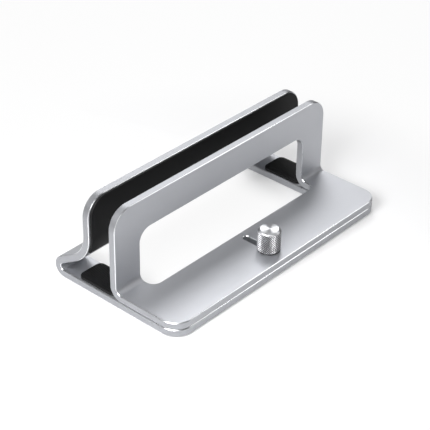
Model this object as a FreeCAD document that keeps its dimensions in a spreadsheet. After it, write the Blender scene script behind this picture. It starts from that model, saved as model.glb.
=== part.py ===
import FreeCAD, Part
import math
import os

import Sketcher

# Vertical laptop stand. Two bent aluminium plates hold a closed laptop on its edge.
# The rear plate is a base with two side arms, which fold back over themselves and rise as
# the rear wall. The front plate is an L that slides forward on the base and is clamped
# by a knurled knob. +X runs along the walls to the right, -Y points to the knob side,
# +Z is up, and the origin is on the table under the middle of the stand.

Vector = FreeCAD.Vector
Y_AXIS = Vector(0, 1, 0)
Z_AXIS = Vector(0, 0, 1)

# Driving dimensions in millimetres and degrees: name, value, what it sets
DIMENSIONS = [
    ("plate_length", 200.0, "length of both plates along X"),
    ("overall_depth", 105.0, "front edge to the back of the hairpin fold"),
    ("sheet_thickness", 5.0, "thickness of both plates"),
    ("wall_height", 67.0, "top of both walls above the underside of the base"),
    ("standoff", 1.0, "underside of the base above the table"),
    ("front_corner_radius", 12.0, "plan corners at the front edge of both plates"),
    ("wall_corner_radius", 14.0, "top corners of both walls"),
    ("edge_chamfer", 0.4, "bright chamfer round every plate edge"),
    ("rear_wall_inset", 31.9, "front face of the rear wall ahead of the fold's back"),
    ("hairpin_radius", 2.4, "inner radius of the hairpin fold"),
    ("flange_angle", 31.6, "rise of the flange between the fold and the rear wall"),
    ("rear_bend_radius", 20.5, "inner radius of the bend into the rear wall"),
    ("arm_width", 22.0, "side arms of the base, beside its window"),
    ("bar_setback", 1.0, "base window edge ahead of the front plate's window edge"),
    ("window_rear_margin", 2.0, "flat left between the end of the base window and the bend"),
    ("base_window_front_radius", 6.0, "front corners of the base window"),
    ("base_window_rear_radius", 2.0, "corners of the base window where it ends in the flange"),
    ("closed_gap", 17.3, "between the bare walls with the front plate pushed home"),
    ("plate_gap", 0.1, "running gap between the base and the sliding foot"),
    ("front_bend_radius", 4.0, "inner radius of the bend between foot and front wall"),
    ("foot_depth", 39.5, "foot of the front plate, front edge to window"),
    ("leg_width", 21.5, "legs of the front plate, beside its window"),
    ("upper_bar_height", 22.0, "bar of the front wall above its window"),
    ("wall_window_radius", 9.0, "upper corners of the front wall's window"),
    ("foot_window_radius", 6.0, "corners of the window in the foot"),
    ("travel", 19.0, "slide of the front plate"),
    ("slot_width", 4.4, "slot of the foot round the clamp stud"),
    ("knob_setback", 13.6, "knob axis behind the front edge"),
    ("knob_diameter", 15.4, "over the knurl"),
    ("knob_height", 15.0, "knob without its washer"),
    ("knob_chamfer", 1.6, "turned chamfer at the knob's top"),
    ("knob_foot_chamfer", 0.4, "turned chamfer at the knob's foot"),
    ("knurl_count", 24, "diamonds round the knob"),
    ("knurl_rows", 7, "diamonds up the knob"),
    ("knurl_depth", 0.5, "depth of the knurl"),
    ("washer_diameter", 14.4, "washer under the knob"),
    ("washer_thickness", 0.8, "washer under the knob"),
    ("washer_clearance", 0.1, "radial, between washer and stud"),
    ("stud_diameter", 4.0, "threaded stud of the knob, M4"),
    ("stud_seat", 9.0, "length of stud pressed into the knob"),
    ("stud_recess", 0.5, "end of the stud above the base's underside"),
    ("thread_clearance", 0.05, "radial, between stud and threaded hole"),
    ("pin_nose", 0.4, "chamfer at the free end of the stud and pins"),
    ("guide_spacing", 120.0, "between the two guide pins"),
    ("guide_diameter", 4.0, "guide pins"),
    ("guide_setback", 6.7, "guide pins ahead of the foot window"),
    ("guide_seat", 3.0, "length of guide pin pressed into the foot"),
    ("guide_reach", 2.8, "length of guide pin in the base's groove"),
    ("guide_clearance", 0.1, "side and end play of a guide pin in its groove"),
    ("groove_floor_gap", 0.3, "play under a guide pin"),
    ("wall_pad_thickness", 1.4, "silicone pads on the two walls"),
    ("rear_pad_rim", 0.6, "rounded rim of the rear wall pad"),
    ("rear_pad_side_inset", 1.5, "rear wall pad inside the wall's side edges"),
    ("rear_pad_top_inset", 0.6, "rear wall pad below the wall's top edge"),
    ("rear_pad_upper_radius", 12.8, "upper corners of the rear wall pad"),
    ("rear_pad_lower_radius", 1.0, "lower corners of the rear wall pad"),
    ("rear_pad_wrap", 27.0, "rear wall pad wrapped down the bend"),
    ("front_pad_inset", 3.0, "front wall pad inside the wall's upper bar"),
    ("front_pad_radius", 6.4, "corners of the front wall pad"),
    ("front_pad_rim", 0.4, "bevelled rim of the front wall pad"),
    ("seat_pad_thickness", 2.0, "silicone pads that the laptop stands on"),
    ("seat_pad_rim", 0.5, "bevelled rim of the seat pads"),
    ("seat_pad_inset", 1.2, "seat pads inside the edges of the arms"),
    ("seat_pad_overrun", 12.4, "seat pads behind the face of the rear wall"),
    ("seat_pad_clearance", 1.7, "front end of the seat pads below the front bend"),
    ("seat_pad_radius", 4.0, "corners of the seat pads"),
    ("grip_recess", 0.5, "recess of the grip pads in the base"),
    ("grip_clearance", 0.15, "grip pad inside its recess"),
    ("grip_rim", 0.3, "bevelled rim of the grip pads"),
    ("grip_radius", 4.0, "corners of the grip pads"),
    ("front_grip_length", 48.0, "front grip pads along X"),
    ("front_grip_width", 11.0, "front grip pads along Y"),
    ("front_grip_spacing", 116.0, "between the centres of the front grip pads"),
    ("front_grip_setback", 11.0, "front grip pad centres behind the front edge"),
    ("rear_grip_length", 34.0, "rear grip pads along Y"),
    ("rear_grip_width", 12.0, "rear grip pads along X"),
    ("rear_grip_setback", 29.0, "rear grip pad centres ahead of the fold's back"),
]

document = FreeCAD.newDocument("vertical_laptop_stand")
sizes = document.addObject("Spreadsheet::Sheet", "Sizes")
for row, (alias, size, meaning) in enumerate(DIMENSIONS, start=1):
    sizes.set(f"A{row}", meaning)
    sizes.set(f"B{row}", str(size))
    sizes.setAlias(f"B{row}", alias)
document.recompute()

# Places that several pieces share, as expressions on the sheet
FRONT_EDGE = "(-Sizes.overall_depth / 2)"
SIDE_EDGE = "(Sizes.plate_length / 2)"
BASE_BOTTOM = "Sizes.standoff"
BASE_TOP = "(Sizes.standoff + Sizes.sheet_thickness)"
WALL_TOP = "(Sizes.standoff + Sizes.wall_height)"

HAIRPIN_OUTER = "(Sizes.hairpin_radius + Sizes.sheet_thickness)"
HAIRPIN_Y = f"(Sizes.overall_depth / 2 - {HAIRPIN_OUTER})"
HAIRPIN_Z = f"({BASE_TOP} + Sizes.hairpin_radius)"
REAR_WALL_FRONT = "(Sizes.overall_depth / 2 - Sizes.rear_wall_inset)"
REAR_BEND_OUTER = "(Sizes.rear_bend_radius + Sizes.sheet_thickness)"
REAR_BEND_Y = f"({REAR_WALL_FRONT} + {REAR_BEND_OUTER})"
BEND_REACH = f"({HAIRPIN_OUTER} + Sizes.rear_bend_radius)"
FLANGE_RUN = (
    f"(({HAIRPIN_Y} + {BEND_REACH} * sin(Sizes.flange_angle) - {REAR_BEND_Y})"
    " / cos(Sizes.flange_angle))"
)
REAR_BEND_Z = (
    f"({HAIRPIN_Z} + {BEND_REACH} * cos(Sizes.flange_angle)"
    f" + {FLANGE_RUN} * sin(Sizes.flange_angle))"
)

# The base window goes on through the fold and ends square in the flange, short of the bend
WINDOW_END_REACH = f"({REAR_BEND_OUTER} + Sizes.sheet_thickness)"
WINDOW_END_Y = (
    f"({REAR_BEND_Y} - {WINDOW_END_REACH} * sin(Sizes.flange_angle)"
    " + Sizes.window_rear_margin * cos(Sizes.flange_angle))"
)
WINDOW_END_Z = (
    f"({REAR_BEND_Z} - {WINDOW_END_REACH} * cos(Sizes.flange_angle)"
    " - Sizes.window_rear_margin * sin(Sizes.flange_angle))"
)
BEHIND = "(Sizes.overall_depth / 2 + Sizes.sheet_thickness)"

FOOT_BOTTOM = f"({BASE_TOP} + Sizes.plate_gap)"
FOOT_TOP = f"({FOOT_BOTTOM} + Sizes.sheet_thickness)"
FOOT_WINDOW_EDGE = f"({FRONT_EDGE} + Sizes.foot_depth)"
FRONT_WALL_BACK = f"({REAR_WALL_FRONT} - Sizes.closed_gap)"
FRONT_WALL_FRONT = f"({FRONT_WALL_BACK} - Sizes.sheet_thickness)"
FRONT_BEND_OUTER = "(Sizes.front_bend_radius + Sizes.sheet_thickness)"
FRONT_BEND_Y = f"({FRONT_WALL_FRONT} - Sizes.front_bend_radius)"
FRONT_BEND_Z = f"({FOOT_TOP} + Sizes.front_bend_radius)"
WINDOW_TOP = f"({WALL_TOP} - Sizes.upper_bar_height)"

KNOB_Y = f"({FRONT_EDGE} + Sizes.knob_setback)"
GUIDE_Y = f"({FOOT_WINDOW_EDGE} - Sizes.guide_setback)"

# The front plate's window is a low cut through the foot, the bend and the wall's foot, as
# high as the bend, and an upright cut through the wall, which reaches down into the first.
WALL_CUT_BOTTOM = f"({FRONT_BEND_Z} - Sizes.front_bend_radius / 3)"
FOOT_CUT_END = f"({FRONT_WALL_BACK} + Sizes.sheet_thickness)"

# Two faces that meet at more than this many degrees make a sharp edge
SHARP_ANGLE = 20.0
# How near a point has to be to a plane to lie in it
NEAR = 0.01


def number(expression):
    """The value that an expression has now."""
    value = sizes.evalExpression(expression)
    return float(getattr(value, "Value", value))


def drive(target, name, expression, kind, *where):
    """Adds a sketch dimension and ties it to an expression."""
    value = number(expression)
    if kind == "Angle":
        value = math.radians(value)
        expression = f"({expression}) * 1 deg"
    index = target.addConstraint(Sketcher.Constraint(kind, *where, value))
    target.renameConstraint(index, name)
    target.setExpression(f"Constraints.{name}", expression)


def origin_plane(body, role):
    """One of a body's own origin planes."""
    return next(plane for plane in body.Origin.OriginFeatures if plane.Role == role)


def new_body(label):
    """An empty body that will be exported under its label."""
    body = document.addObject("PartDesign::Body", label)
    body.Label = label
    return body


def new_sketch(body, name, role, offset=None):
    """A sketch on one of the body's origin planes, moved along the plane's normal."""
    sketch = body.newObject("Sketcher::SketchObject", name)
    sketch.AttachmentSupport = [(origin_plane(body, role), "")]
    sketch.MapMode = "FlatFace"
    if offset:
        sketch.setExpression("AttachmentOffset.Base.z", offset)
    return sketch


class Outline:
    """A closed run of lines and arcs in a sketch, joined as it is drawn."""

    def __init__(self, sketch):
        self.sketch = sketch
        self.runs = []

    def line(self, start, end):
        edge = Part.LineSegment(Vector(*start, 0), Vector(*end, 0))
        self.runs.append((self.sketch.addGeometry(edge), 1, 2, False))
        return self.runs[-1][0]

    def arc(self, centre, radius, first, last):
        """An arc between two angles in degrees, clockwise where last is the smaller."""
        circle = Part.Circle(Vector(*centre, 0), Z_AXIS, radius)
        low, high = sorted((math.radians(first), math.radians(last)))
        index = self.sketch.addGeometry(Part.ArcOfCircle(circle, low, high))
        start, end = (1, 2) if last > first else (2, 1)
        self.runs.append((index, start, end, True))
        return index

    def close(self, corners=()):
        """Joins each run to the next, smoothly where a line meets an arc off the corners."""
        for here, after in zip(self.runs, self.runs[1:] + self.runs[:1]):
            smooth = here[3] != after[3] and (here[0], after[0]) not in corners
            kind = "Tangent" if smooth else "Coincident"
            self.sketch.addConstraint(
                Sketcher.Constraint(kind, here[0], here[2], after[0], after[1])
            )

    def level(self, *lines):
        for index in lines:
            self.sketch.addConstraint(Sketcher.Constraint("Horizontal", index))

    def upright(self, *lines):
        for index in lines:
            self.sketch.addConstraint(Sketcher.Constraint("Vertical", index))

    def same_centre(self, first, second):
        self.sketch.addConstraint(Sketcher.Constraint("Coincident", first, 3, second, 3))

    def across(self, name, expression, index, point):
        drive(self.sketch, name, expression, "DistanceX", -1, 1, index, point)

    def height(self, name, expression, index, point):
        drive(self.sketch, name, expression, "DistanceY", -1, 1, index, point)

    def radius(self, name, expression, index):
        drive(self.sketch, name, expression, "Radius", index)


def rectangle(sketch, left, right, bottom, top, radii=(None, None, None, None)):
    """A rectangle with its own radius, or none, at each corner, from the lower left on."""
    sides = [number(side) for side in (left, right, bottom, top)]
    low_x, high_x, low_y, high_y = sides
    corners = [(low_x, low_y), (high_x, low_y), (high_x, high_y), (low_x, high_y)]
    inward = [(1, 1), (-1, 1), (-1, -1), (1, -1)]
    travel = [(1, 0), (0, 1), (-1, 0), (0, -1)]
    sweep = [number(radius) if radius else 0.0 for radius in radii]
    outline = Outline(sketch)
    lines = []
    arcs = []
    for turn in range(4):
        x, y = corners[turn]
        if radii[turn]:
            centre = (x + inward[turn][0] * sweep[turn], y + inward[turn][1] * sweep[turn])
            start = 180.0 + 90.0 * turn
            arcs.append((turn, outline.arc(centre, sweep[turn], start, start + 90.0)))
        after = (turn + 1) % 4
        step_x, step_y = travel[turn]
        end_x, end_y = corners[after]
        lines.append(outline.line(
            (x + step_x * sweep[turn], y + step_y * sweep[turn]),
            (end_x - step_x * sweep[after], end_y - step_y * sweep[after]),
        ))
    outline.close()
    outline.level(lines[0], lines[2])
    outline.upright(lines[1], lines[3])
    outline.height("bottom", bottom, lines[0], 1)
    outline.across("right", right, lines[1], 1)
    outline.height("top", top, lines[2], 1)
    outline.across("left", left, lines[3], 1)
    for turn, arc in arcs:
        outline.radius(f"corner_{turn}", radii[turn], arc)


def slot(sketch, name, centre_x, front, rear, width):
    """A slot with round ends that runs along Y between two end centres."""
    x, low, high = number(centre_x), number(front), number(rear)
    half = number(width) / 2
    outline = Outline(sketch)
    low_end = outline.arc((x, low), half, -180.0, 0.0)
    right_side = outline.line((x + half, low), (x + half, high))
    high_end = outline.arc((x, high), half, 0.0, 180.0)
    left_side = outline.line((x - half, high), (x - half, low))
    outline.close()
    outline.upright(right_side, left_side)
    outline.radius(f"{name}_end", f"{width} / 2", low_end)
    outline.across(f"{name}_centre", centre_x, low_end, 3)
    outline.height(f"{name}_front", front, low_end, 3)
    outline.height(f"{name}_rear", rear, high_end, 3)


def round_hole(sketch, name, centre_x, centre_y, diameter):
    """A circle placed from the sketch's origin."""
    centre = Vector(number(centre_x), number(centre_y), 0)
    index = sketch.addGeometry(Part.Circle(centre, Z_AXIS, number(diameter) / 2))
    drive(sketch, f"{name}_x", centre_x, "DistanceX", -1, 1, index, 3)
    drive(sketch, f"{name}_y", centre_y, "DistanceY", -1, 1, index, 3)
    drive(sketch, f"{name}_bore", f"{diameter} / 2", "Radius", index)


def pad(body, name, sketch, length, symmetric=False, turned=False):
    """Thickens a sketch."""
    feature = body.newObject("PartDesign::Pad", name)
    feature.Profile = sketch
    feature.SideType = "Symmetric" if symmetric else "One side"
    feature.Reversed = turned
    feature.setExpression("Length", length)
    document.recompute()
    return feature


def pocket(body, name, sketch, depth=None, turned=False, symmetric=False):
    """Cuts a sketch through, or to a depth, and makes sure that it cut something."""
    before = body.Tip.Shape.Volume
    feature = body.newObject("PartDesign::Pocket", name)
    feature.Profile = sketch
    feature.SideType = "Symmetric" if symmetric else "One side"
    feature.Reversed = turned
    if depth:
        feature.setExpression("Length", depth)
    else:
        feature.Type = "ThroughAll"
    document.recompute()
    if not feature.Shape.Volume < before:
        raise RuntimeError(f"{body.Label}: {name} removes nothing")
    return feature


def edges_where(shape, test):
    """Names of the edges whose middle point and direction there pass a test."""
    names = []
    for index, edge in enumerate(shape.Edges, start=1):
        if edge.Degenerated:
            continue
        middle = (edge.FirstParameter + edge.LastParameter) / 2
        if test(edge.valueAt(middle), edge.tangentAt(middle)):
            names.append(f"Edge{index}")
    return names


def sharp_edges(shape):
    """Names of the edges where two faces meet at an angle."""
    limit = math.cos(math.radians(SHARP_ANGLE))
    names = []
    for index, edge in enumerate(shape.Edges, start=1):
        faces = shape.ancestorsOfType(edge, Part.Face)
        if len(faces) != 2:
            continue
        point = edge.valueAt((edge.FirstParameter + edge.LastParameter) / 2)
        first, second = (face.normalAt(*face.Surface.parameter(point)) for face in faces)
        if first.dot(second) < limit:
            names.append(f"Edge{index}")
    return names


def round_edges(body, name, radius, names):
    """Rounds the named edges of the body's last feature."""
    base = body.Tip
    feature = body.newObject("PartDesign::Fillet", name)
    feature.Base = (base, names)
    feature.setExpression("Radius", radius)
    document.recompute()
    return feature


def bevel_edges(body, name, size, names):
    """Bevels the named edges of the body's last feature."""
    base = body.Tip
    feature = body.newObject("PartDesign::Chamfer", name)
    feature.Base = (base, names)
    feature.setExpression("Size", size)
    document.recompute()
    return feature


def runs_along(direction, axis):
    """True where an edge runs along an axis."""
    return abs(direction.dot(axis)) > 0.999


# Rear plate: base, hairpin fold, flange and rear wall in one bent sheet
def rear_plate_profile(body):
    """The bent section of the rear plate, seen from the side."""
    sketch = new_sketch(body, "rear_section", "YZ_Plane")
    front = number(FRONT_EDGE)
    bottom, top = number(BASE_BOTTOM), number(BASE_TOP)
    fold = (number(HAIRPIN_Y), number(HAIRPIN_Z))
    fold_inner, fold_outer = number("Sizes.hairpin_radius"), number(HAIRPIN_OUTER)
    bend = (number(REAR_BEND_Y), number(REAR_BEND_Z))
    bend_inner, bend_outer = number("Sizes.rear_bend_radius"), number(REAR_BEND_OUTER)
    wall_top = number(WALL_TOP)
    square = 90.0 - number("Sizes.flange_angle")

    def on_circle(centre, radius, angle):
        turn = math.radians(angle)
        return (centre[0] + radius * math.cos(turn), centre[1] + radius * math.sin(turn))

    outline = Outline(sketch)
    underside = outline.line((front, bottom), (fold[0], bottom))
    fold_back = outline.arc(fold, fold_outer, -90.0, square)
    flange_back = outline.line(
        on_circle(fold, fold_outer, square), on_circle(bend, bend_inner, 180.0 + square)
    )
    bend_back = outline.arc(bend, bend_inner, 180.0 + square, 180.0)
    wall_back = outline.line((bend[0] - bend_inner, bend[1]), (bend[0] - bend_inner, wall_top))
    wall_edge = outline.line((bend[0] - bend_inner, wall_top), (bend[0] - bend_outer, wall_top))
    wall_front = outline.line((bend[0] - bend_outer, wall_top), (bend[0] - bend_outer, bend[1]))
    bend_front = outline.arc(bend, bend_outer, 180.0, 180.0 + square)
    outline.line(
        on_circle(bend, bend_outer, 180.0 + square), on_circle(fold, fold_inner, square)
    )
    fold_front = outline.arc(fold, fold_inner, square, -90.0)
    base_face = outline.line((fold[0], top), (front, top))
    base_edge = outline.line((front, top), (front, bottom))
    outline.close()
    outline.level(underside, wall_edge, base_face)
    outline.upright(wall_back, wall_front, base_edge)
    outline.same_centre(fold_back, fold_front)
    outline.same_centre(bend_back, bend_front)
    outline.across("front_edge", FRONT_EDGE, underside, 1)
    outline.height("base_bottom", BASE_BOTTOM, underside, 1)
    outline.across("fold_place", HAIRPIN_Y, fold_front, 3)
    outline.radius("fold_radius", "Sizes.hairpin_radius", fold_front)
    outline.radius("bend_radius", "Sizes.rear_bend_radius", bend_back)
    outline.across("wall_front", REAR_WALL_FRONT, wall_front, 1)
    outline.height("wall_top", WALL_TOP, wall_front, 1)
    drive(sketch, "base_sheet", "Sizes.sheet_thickness", "DistanceY", base_edge, 2, base_edge, 1)
    drive(sketch, "wall_sheet", "Sizes.sheet_thickness", "DistanceX", wall_edge, 2, wall_edge, 1)
    drive(sketch, "flange_rise", "180 - Sizes.flange_angle", "Angle", flange_back)
    return sketch


def fold_window_profile(body):
    """Side view of the cut that takes the base window through the fold and the flange."""
    sketch = new_sketch(body, "fold_window", "YZ_Plane")
    low = (number(WINDOW_END_Y), number(WINDOW_END_Z))
    square = math.radians(90.0 - number("Sizes.flange_angle"))
    reach = 3 * number("Sizes.sheet_thickness")
    high = (low[0] + reach * math.cos(square), low[1] + reach * math.sin(square))
    behind, floor = number(BEHIND), number(BASE_TOP)
    outline = Outline(sketch)
    end = outline.line(low, high)
    upper = outline.line(high, (behind, high[1]))
    rear = outline.line((behind, high[1]), (behind, floor))
    lower = outline.line((behind, floor), (low[0], floor))
    ahead = outline.line((low[0], floor), low)
    outline.close()
    outline.level(upper, lower)
    outline.upright(rear, ahead)
    outline.across("end_place", WINDOW_END_Y, end, 1)
    outline.height("end_height", WINDOW_END_Z, end, 1)
    drive(sketch, "end_square", "90 - Sizes.flange_angle", "Angle", end)
    drive(sketch, "end_reach", "3 * Sizes.sheet_thickness", "Distance", end)
    outline.across("behind", BEHIND, rear, 1)
    outline.height("base_face", BASE_TOP, lower, 1)
    return sketch


def grip_places(margin="0"):
    """Each grip pad's name and its left, right, front and back sides, inside a margin."""
    front_y = f"{FRONT_EDGE} + Sizes.front_grip_setback"
    rear_y = "Sizes.overall_depth / 2 - Sizes.rear_grip_setback"
    rows = (
        ("front", "Sizes.front_grip_spacing / 2", front_y,
         "Sizes.front_grip_length", "Sizes.front_grip_width"),
        ("rear", f"({SIDE_EDGE} - Sizes.arm_width / 2)", rear_y,
         "Sizes.rear_grip_width", "Sizes.rear_grip_length"),
    )
    places = []
    for row_name, out, y, across, along in rows:
        for side, x in (("left", f"-{out}"), ("right", out)):
            places.append((
                f"{row_name}_{side}",
                f"({x} - {across} / 2 + {margin})", f"({x} + {across} / 2 - {margin})",
                f"({y} - {along} / 2 + {margin})", f"({y} + {along} / 2 - {margin})",
            ))
    return places


def guide_places():
    """The two guide pins' names and X places."""
    return (("left", "(-Sizes.guide_spacing / 2)"), ("right", "(Sizes.guide_spacing / 2)"))


def make_rear_plate():
    body = new_body("rear_plate")
    pad(body, "rear_sheet", rear_plate_profile(body), "Sizes.plate_length", symmetric=True)

    window = new_sketch(body, "base_window", "XY_Plane", BASE_TOP)
    rectangle(
        window,
        f"(-{SIDE_EDGE} + Sizes.arm_width)", f"({SIDE_EDGE} - Sizes.arm_width)",
        f"({FOOT_WINDOW_EDGE} - Sizes.bar_setback)", BEHIND,
        ("Sizes.base_window_front_radius", "Sizes.base_window_front_radius", None, None),
    )
    pocket(body, "base_window_cut", window)
    pocket(
        body, "fold_window_cut", fold_window_profile(body),
        "Sizes.plate_length - 2 * Sizes.arm_width", symmetric=True,
    )
    rise = math.radians(number("Sizes.flange_angle"))
    through_flange = Vector(0, math.sin(rise), math.cos(rise))
    round_edges(body, "window_corners", "Sizes.base_window_rear_radius", edges_where(
        body.Tip.Shape, lambda point, way: runs_along(way, through_flange)
    ))

    front = number(FRONT_EDGE)
    round_edges(body, "front_corners", "Sizes.front_corner_radius", edges_where(
        body.Tip.Shape,
        lambda point, way: runs_along(way, Z_AXIS) and abs(point.y - front) < NEAR,
    ))
    wall_top = number(WALL_TOP)
    round_edges(body, "wall_corners", "Sizes.wall_corner_radius", edges_where(
        body.Tip.Shape,
        lambda point, way: runs_along(way, Y_AXIS) and abs(point.z - wall_top) < NEAR,
    ))
    bevel_edges(body, "plate_bevel", "Sizes.edge_chamfer", sharp_edges(body.Tip.Shape))

    thread = new_sketch(body, "clamp_hole", "XY_Plane", BASE_TOP)
    round_hole(thread, "thread", "0", KNOB_Y, "(Sizes.stud_diameter + 2 * Sizes.thread_clearance)")
    pocket(body, "clamp_hole_cut", thread)

    grooves = new_sketch(body, "guide_grooves", "XY_Plane", BASE_TOP)
    for side, place in guide_places():
        slot(
            grooves, side, place,
            f"({GUIDE_Y} - Sizes.travel)", GUIDE_Y,
            "(Sizes.guide_diameter + 2 * Sizes.guide_clearance)",
        )
    pocket(body, "guide_groove_cut", grooves, "Sizes.guide_reach + Sizes.groove_floor_gap")

    for name, *sides in grip_places():
        recess = new_sketch(body, f"recess_{name}", "XY_Plane", BASE_BOTTOM)
        rectangle(recess, *sides, ("Sizes.grip_radius",) * 4)
        pocket(body, f"recess_{name}_cut", recess, "Sizes.grip_recess", turned=True)
    return body


# Front plate: sliding foot and front wall in one bent sheet
def front_plate_profile(body):
    """The L section of the front plate, seen from the side."""
    sketch = new_sketch(body, "front_section", "YZ_Plane")
    front = number(FRONT_EDGE)
    bottom, top = number(FOOT_BOTTOM), number(FOOT_TOP)
    bend = (number(FRONT_BEND_Y), number(FRONT_BEND_Z))
    inner, outer = number("Sizes.front_bend_radius"), number(FRONT_BEND_OUTER)
    wall_top = number(WALL_TOP)
    outline = Outline(sketch)
    underside = outline.line((front, bottom), (bend[0], bottom))
    bend_back = outline.arc(bend, outer, -90.0, 0.0)
    wall_back = outline.line((bend[0] + outer, bend[1]), (bend[0] + outer, wall_top))
    wall_edge = outline.line((bend[0] + outer, wall_top), (bend[0] + inner, wall_top))
    wall_front = outline.line((bend[0] + inner, wall_top), (bend[0] + inner, bend[1]))
    bend_front = outline.arc(bend, inner, 0.0, -90.0)
    foot_face = outline.line((bend[0], top), (front, top))
    foot_edge = outline.line((front, top), (front, bottom))
    outline.close()
    outline.level(underside, wall_edge, foot_face)
    outline.upright(wall_back, wall_front, foot_edge)
    outline.same_centre(bend_back, bend_front)
    outline.across("front_edge", FRONT_EDGE, underside, 1)
    outline.height("foot_bottom", FOOT_BOTTOM, underside, 1)
    outline.radius("bend_radius", "Sizes.front_bend_radius", bend_front)
    outline.across("wall_front", FRONT_WALL_FRONT, wall_front, 1)
    outline.height("wall_top", WALL_TOP, wall_front, 1)
    drive(sketch, "foot_sheet", "Sizes.sheet_thickness", "DistanceY", foot_edge, 2, foot_edge, 1)
    return sketch


def make_front_plate():
    body = new_body("front_plate")
    pad(body, "front_sheet", front_plate_profile(body), "Sizes.plate_length", symmetric=True)

    left = f"(-{SIDE_EDGE} + Sizes.leg_width)"
    right = f"({SIDE_EDGE} - Sizes.leg_width)"
    wall_window = new_sketch(body, "wall_window", "XZ_Plane", f"-{FRONT_BEND_Y}")
    rectangle(
        wall_window, left, right, WALL_CUT_BOTTOM, WINDOW_TOP,
        (None, None, "Sizes.wall_window_radius", "Sizes.wall_window_radius"),
    )
    pocket(body, "wall_window_cut", wall_window)
    foot_window = new_sketch(body, "foot_window", "XY_Plane")
    rectangle(
        foot_window, left, right, FOOT_WINDOW_EDGE, FOOT_CUT_END,
        ("Sizes.foot_window_radius", "Sizes.foot_window_radius", None, None),
    )
    pocket(body, "foot_window_cut", foot_window, FRONT_BEND_Z, turned=True)

    clamp_slot = new_sketch(body, "clamp_slot", "XY_Plane", FOOT_TOP)
    slot(clamp_slot, "clamp", "0", KNOB_Y, f"({KNOB_Y} + Sizes.travel)", "Sizes.slot_width")
    pocket(body, "clamp_slot_cut", clamp_slot)

    front = number(FRONT_EDGE)
    round_edges(body, "front_corners", "Sizes.front_corner_radius", edges_where(
        body.Tip.Shape,
        lambda point, way: runs_along(way, Z_AXIS) and abs(point.y - front) < NEAR,
    ))
    wall_top = number(WALL_TOP)
    round_edges(body, "wall_corners", "Sizes.wall_corner_radius", edges_where(
        body.Tip.Shape,
        lambda point, way: runs_along(way, Y_AXIS) and abs(point.z - wall_top) < NEAR,
    ))
    bevel_edges(body, "plate_bevel", "Sizes.edge_chamfer", sharp_edges(body.Tip.Shape))

    sockets = new_sketch(body, "guide_sockets", "XY_Plane", FOOT_BOTTOM)
    for side, place in guide_places():
        round_hole(sockets, side, place, GUIDE_Y, "Sizes.guide_diameter")
    pocket(body, "guide_socket_cut", sockets, "Sizes.guide_seat", turned=True)
    return body


# Pads: black silicone, glued to the plates
def make_flat_pad(label, role, face, sides, radius, thickness, rim, turned):
    """A flat pad on a face, with round corners and a bevelled rim on its free side."""
    body = new_body(label)
    outline = new_sketch(body, f"{label}_outline", role, face)
    rectangle(outline, *sides, (radius,) * 4)
    pad(body, f"{label}_sheet", outline, thickness, turned=turned)
    sheet = body.Tip.Shape
    outward = outline.Placement.Rotation.multVec(Z_AXIS) * (-1 if turned else 1)
    free = max(vertex.Point.dot(outward) for vertex in sheet.Vertexes)
    bevel_edges(body, f"{label}_rim", rim, edges_where(
        sheet, lambda point, way: abs(point.dot(outward) - free) < NEAR
    ))
    return body


def make_rear_wall_pad():
    """The long pad on the rear wall, which wraps a little way down the bend."""
    body = new_body("rear_wall_pad")
    sketch = new_sketch(body, "rear_pad_section", "YZ_Plane")
    bend = (number(REAR_BEND_Y), number(REAR_BEND_Z))
    seat = number(REAR_BEND_OUTER)
    thickness = number("Sizes.wall_pad_thickness")
    free = seat + thickness
    top = number(f"{WALL_TOP} - Sizes.rear_pad_top_inset")
    wrap = 180.0 + number("Sizes.rear_pad_wrap")
    turn = math.radians(wrap)
    free_end = (bend[0] + free * math.cos(turn), bend[1] + free * math.sin(turn))
    seat_end = (bend[0] + seat * math.cos(turn), bend[1] + seat * math.sin(turn))
    outline = Outline(sketch)
    top_edge = outline.line((bend[0] - seat, top), (bend[0] - free, top))
    free_face = outline.line((bend[0] - free, top), (bend[0] - free, bend[1]))
    free_bend = outline.arc(bend, free, 180.0, wrap)
    lower_edge = outline.line(free_end, seat_end)
    seat_bend = outline.arc(bend, seat, wrap, 180.0)
    seat_face = outline.line((bend[0] - seat, bend[1]), (bend[0] - seat, top))
    outline.close({(free_bend, lower_edge), (lower_edge, seat_bend)})
    sketch.addConstraint(Sketcher.Constraint("PointOnObject", free_bend, 3, lower_edge))
    outline.level(top_edge)
    outline.upright(free_face, seat_face)
    outline.same_centre(free_bend, seat_bend)
    outline.across("bend_place", REAR_BEND_Y, seat_bend, 3)
    outline.height("bend_height", REAR_BEND_Z, seat_bend, 3)
    outline.radius("seat_radius", REAR_BEND_OUTER, seat_bend)
    outline.radius("free_radius", f"{REAR_BEND_OUTER} + Sizes.wall_pad_thickness", free_bend)
    outline.height("top", f"{WALL_TOP} - Sizes.rear_pad_top_inset", top_edge, 1)
    drive(sketch, "wrap", "Sizes.rear_pad_wrap", "Angle", lower_edge)
    pad(
        body, "rear_pad_sheet", sketch,
        "Sizes.plate_length - 2 * Sizes.rear_pad_side_inset", symmetric=True,
    )
    round_edges(body, "upper_corners", "Sizes.rear_pad_upper_radius", edges_where(
        body.Tip.Shape,
        lambda point, way: runs_along(way, Y_AXIS) and abs(point.z - top) < NEAR,
    ))
    radial = Vector(0, math.cos(turn), math.sin(turn))
    round_edges(body, "lower_corners", "Sizes.rear_pad_lower_radius", edges_where(
        body.Tip.Shape, lambda point, way: runs_along(way, radial)
    ))

    def on_free_side(point, way):
        reach = bend[0] - point.y
        if point.z < bend[1]:
            reach = math.hypot(reach, bend[1] - point.z)
        return reach > seat + thickness / 2

    free_edges = edges_where(body.Tip.Shape, on_free_side)
    rim = [name for name in sharp_edges(body.Tip.Shape) if name in free_edges]
    round_edges(body, "rear_pad_rim", "Sizes.rear_pad_rim", rim)
    return body


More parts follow.
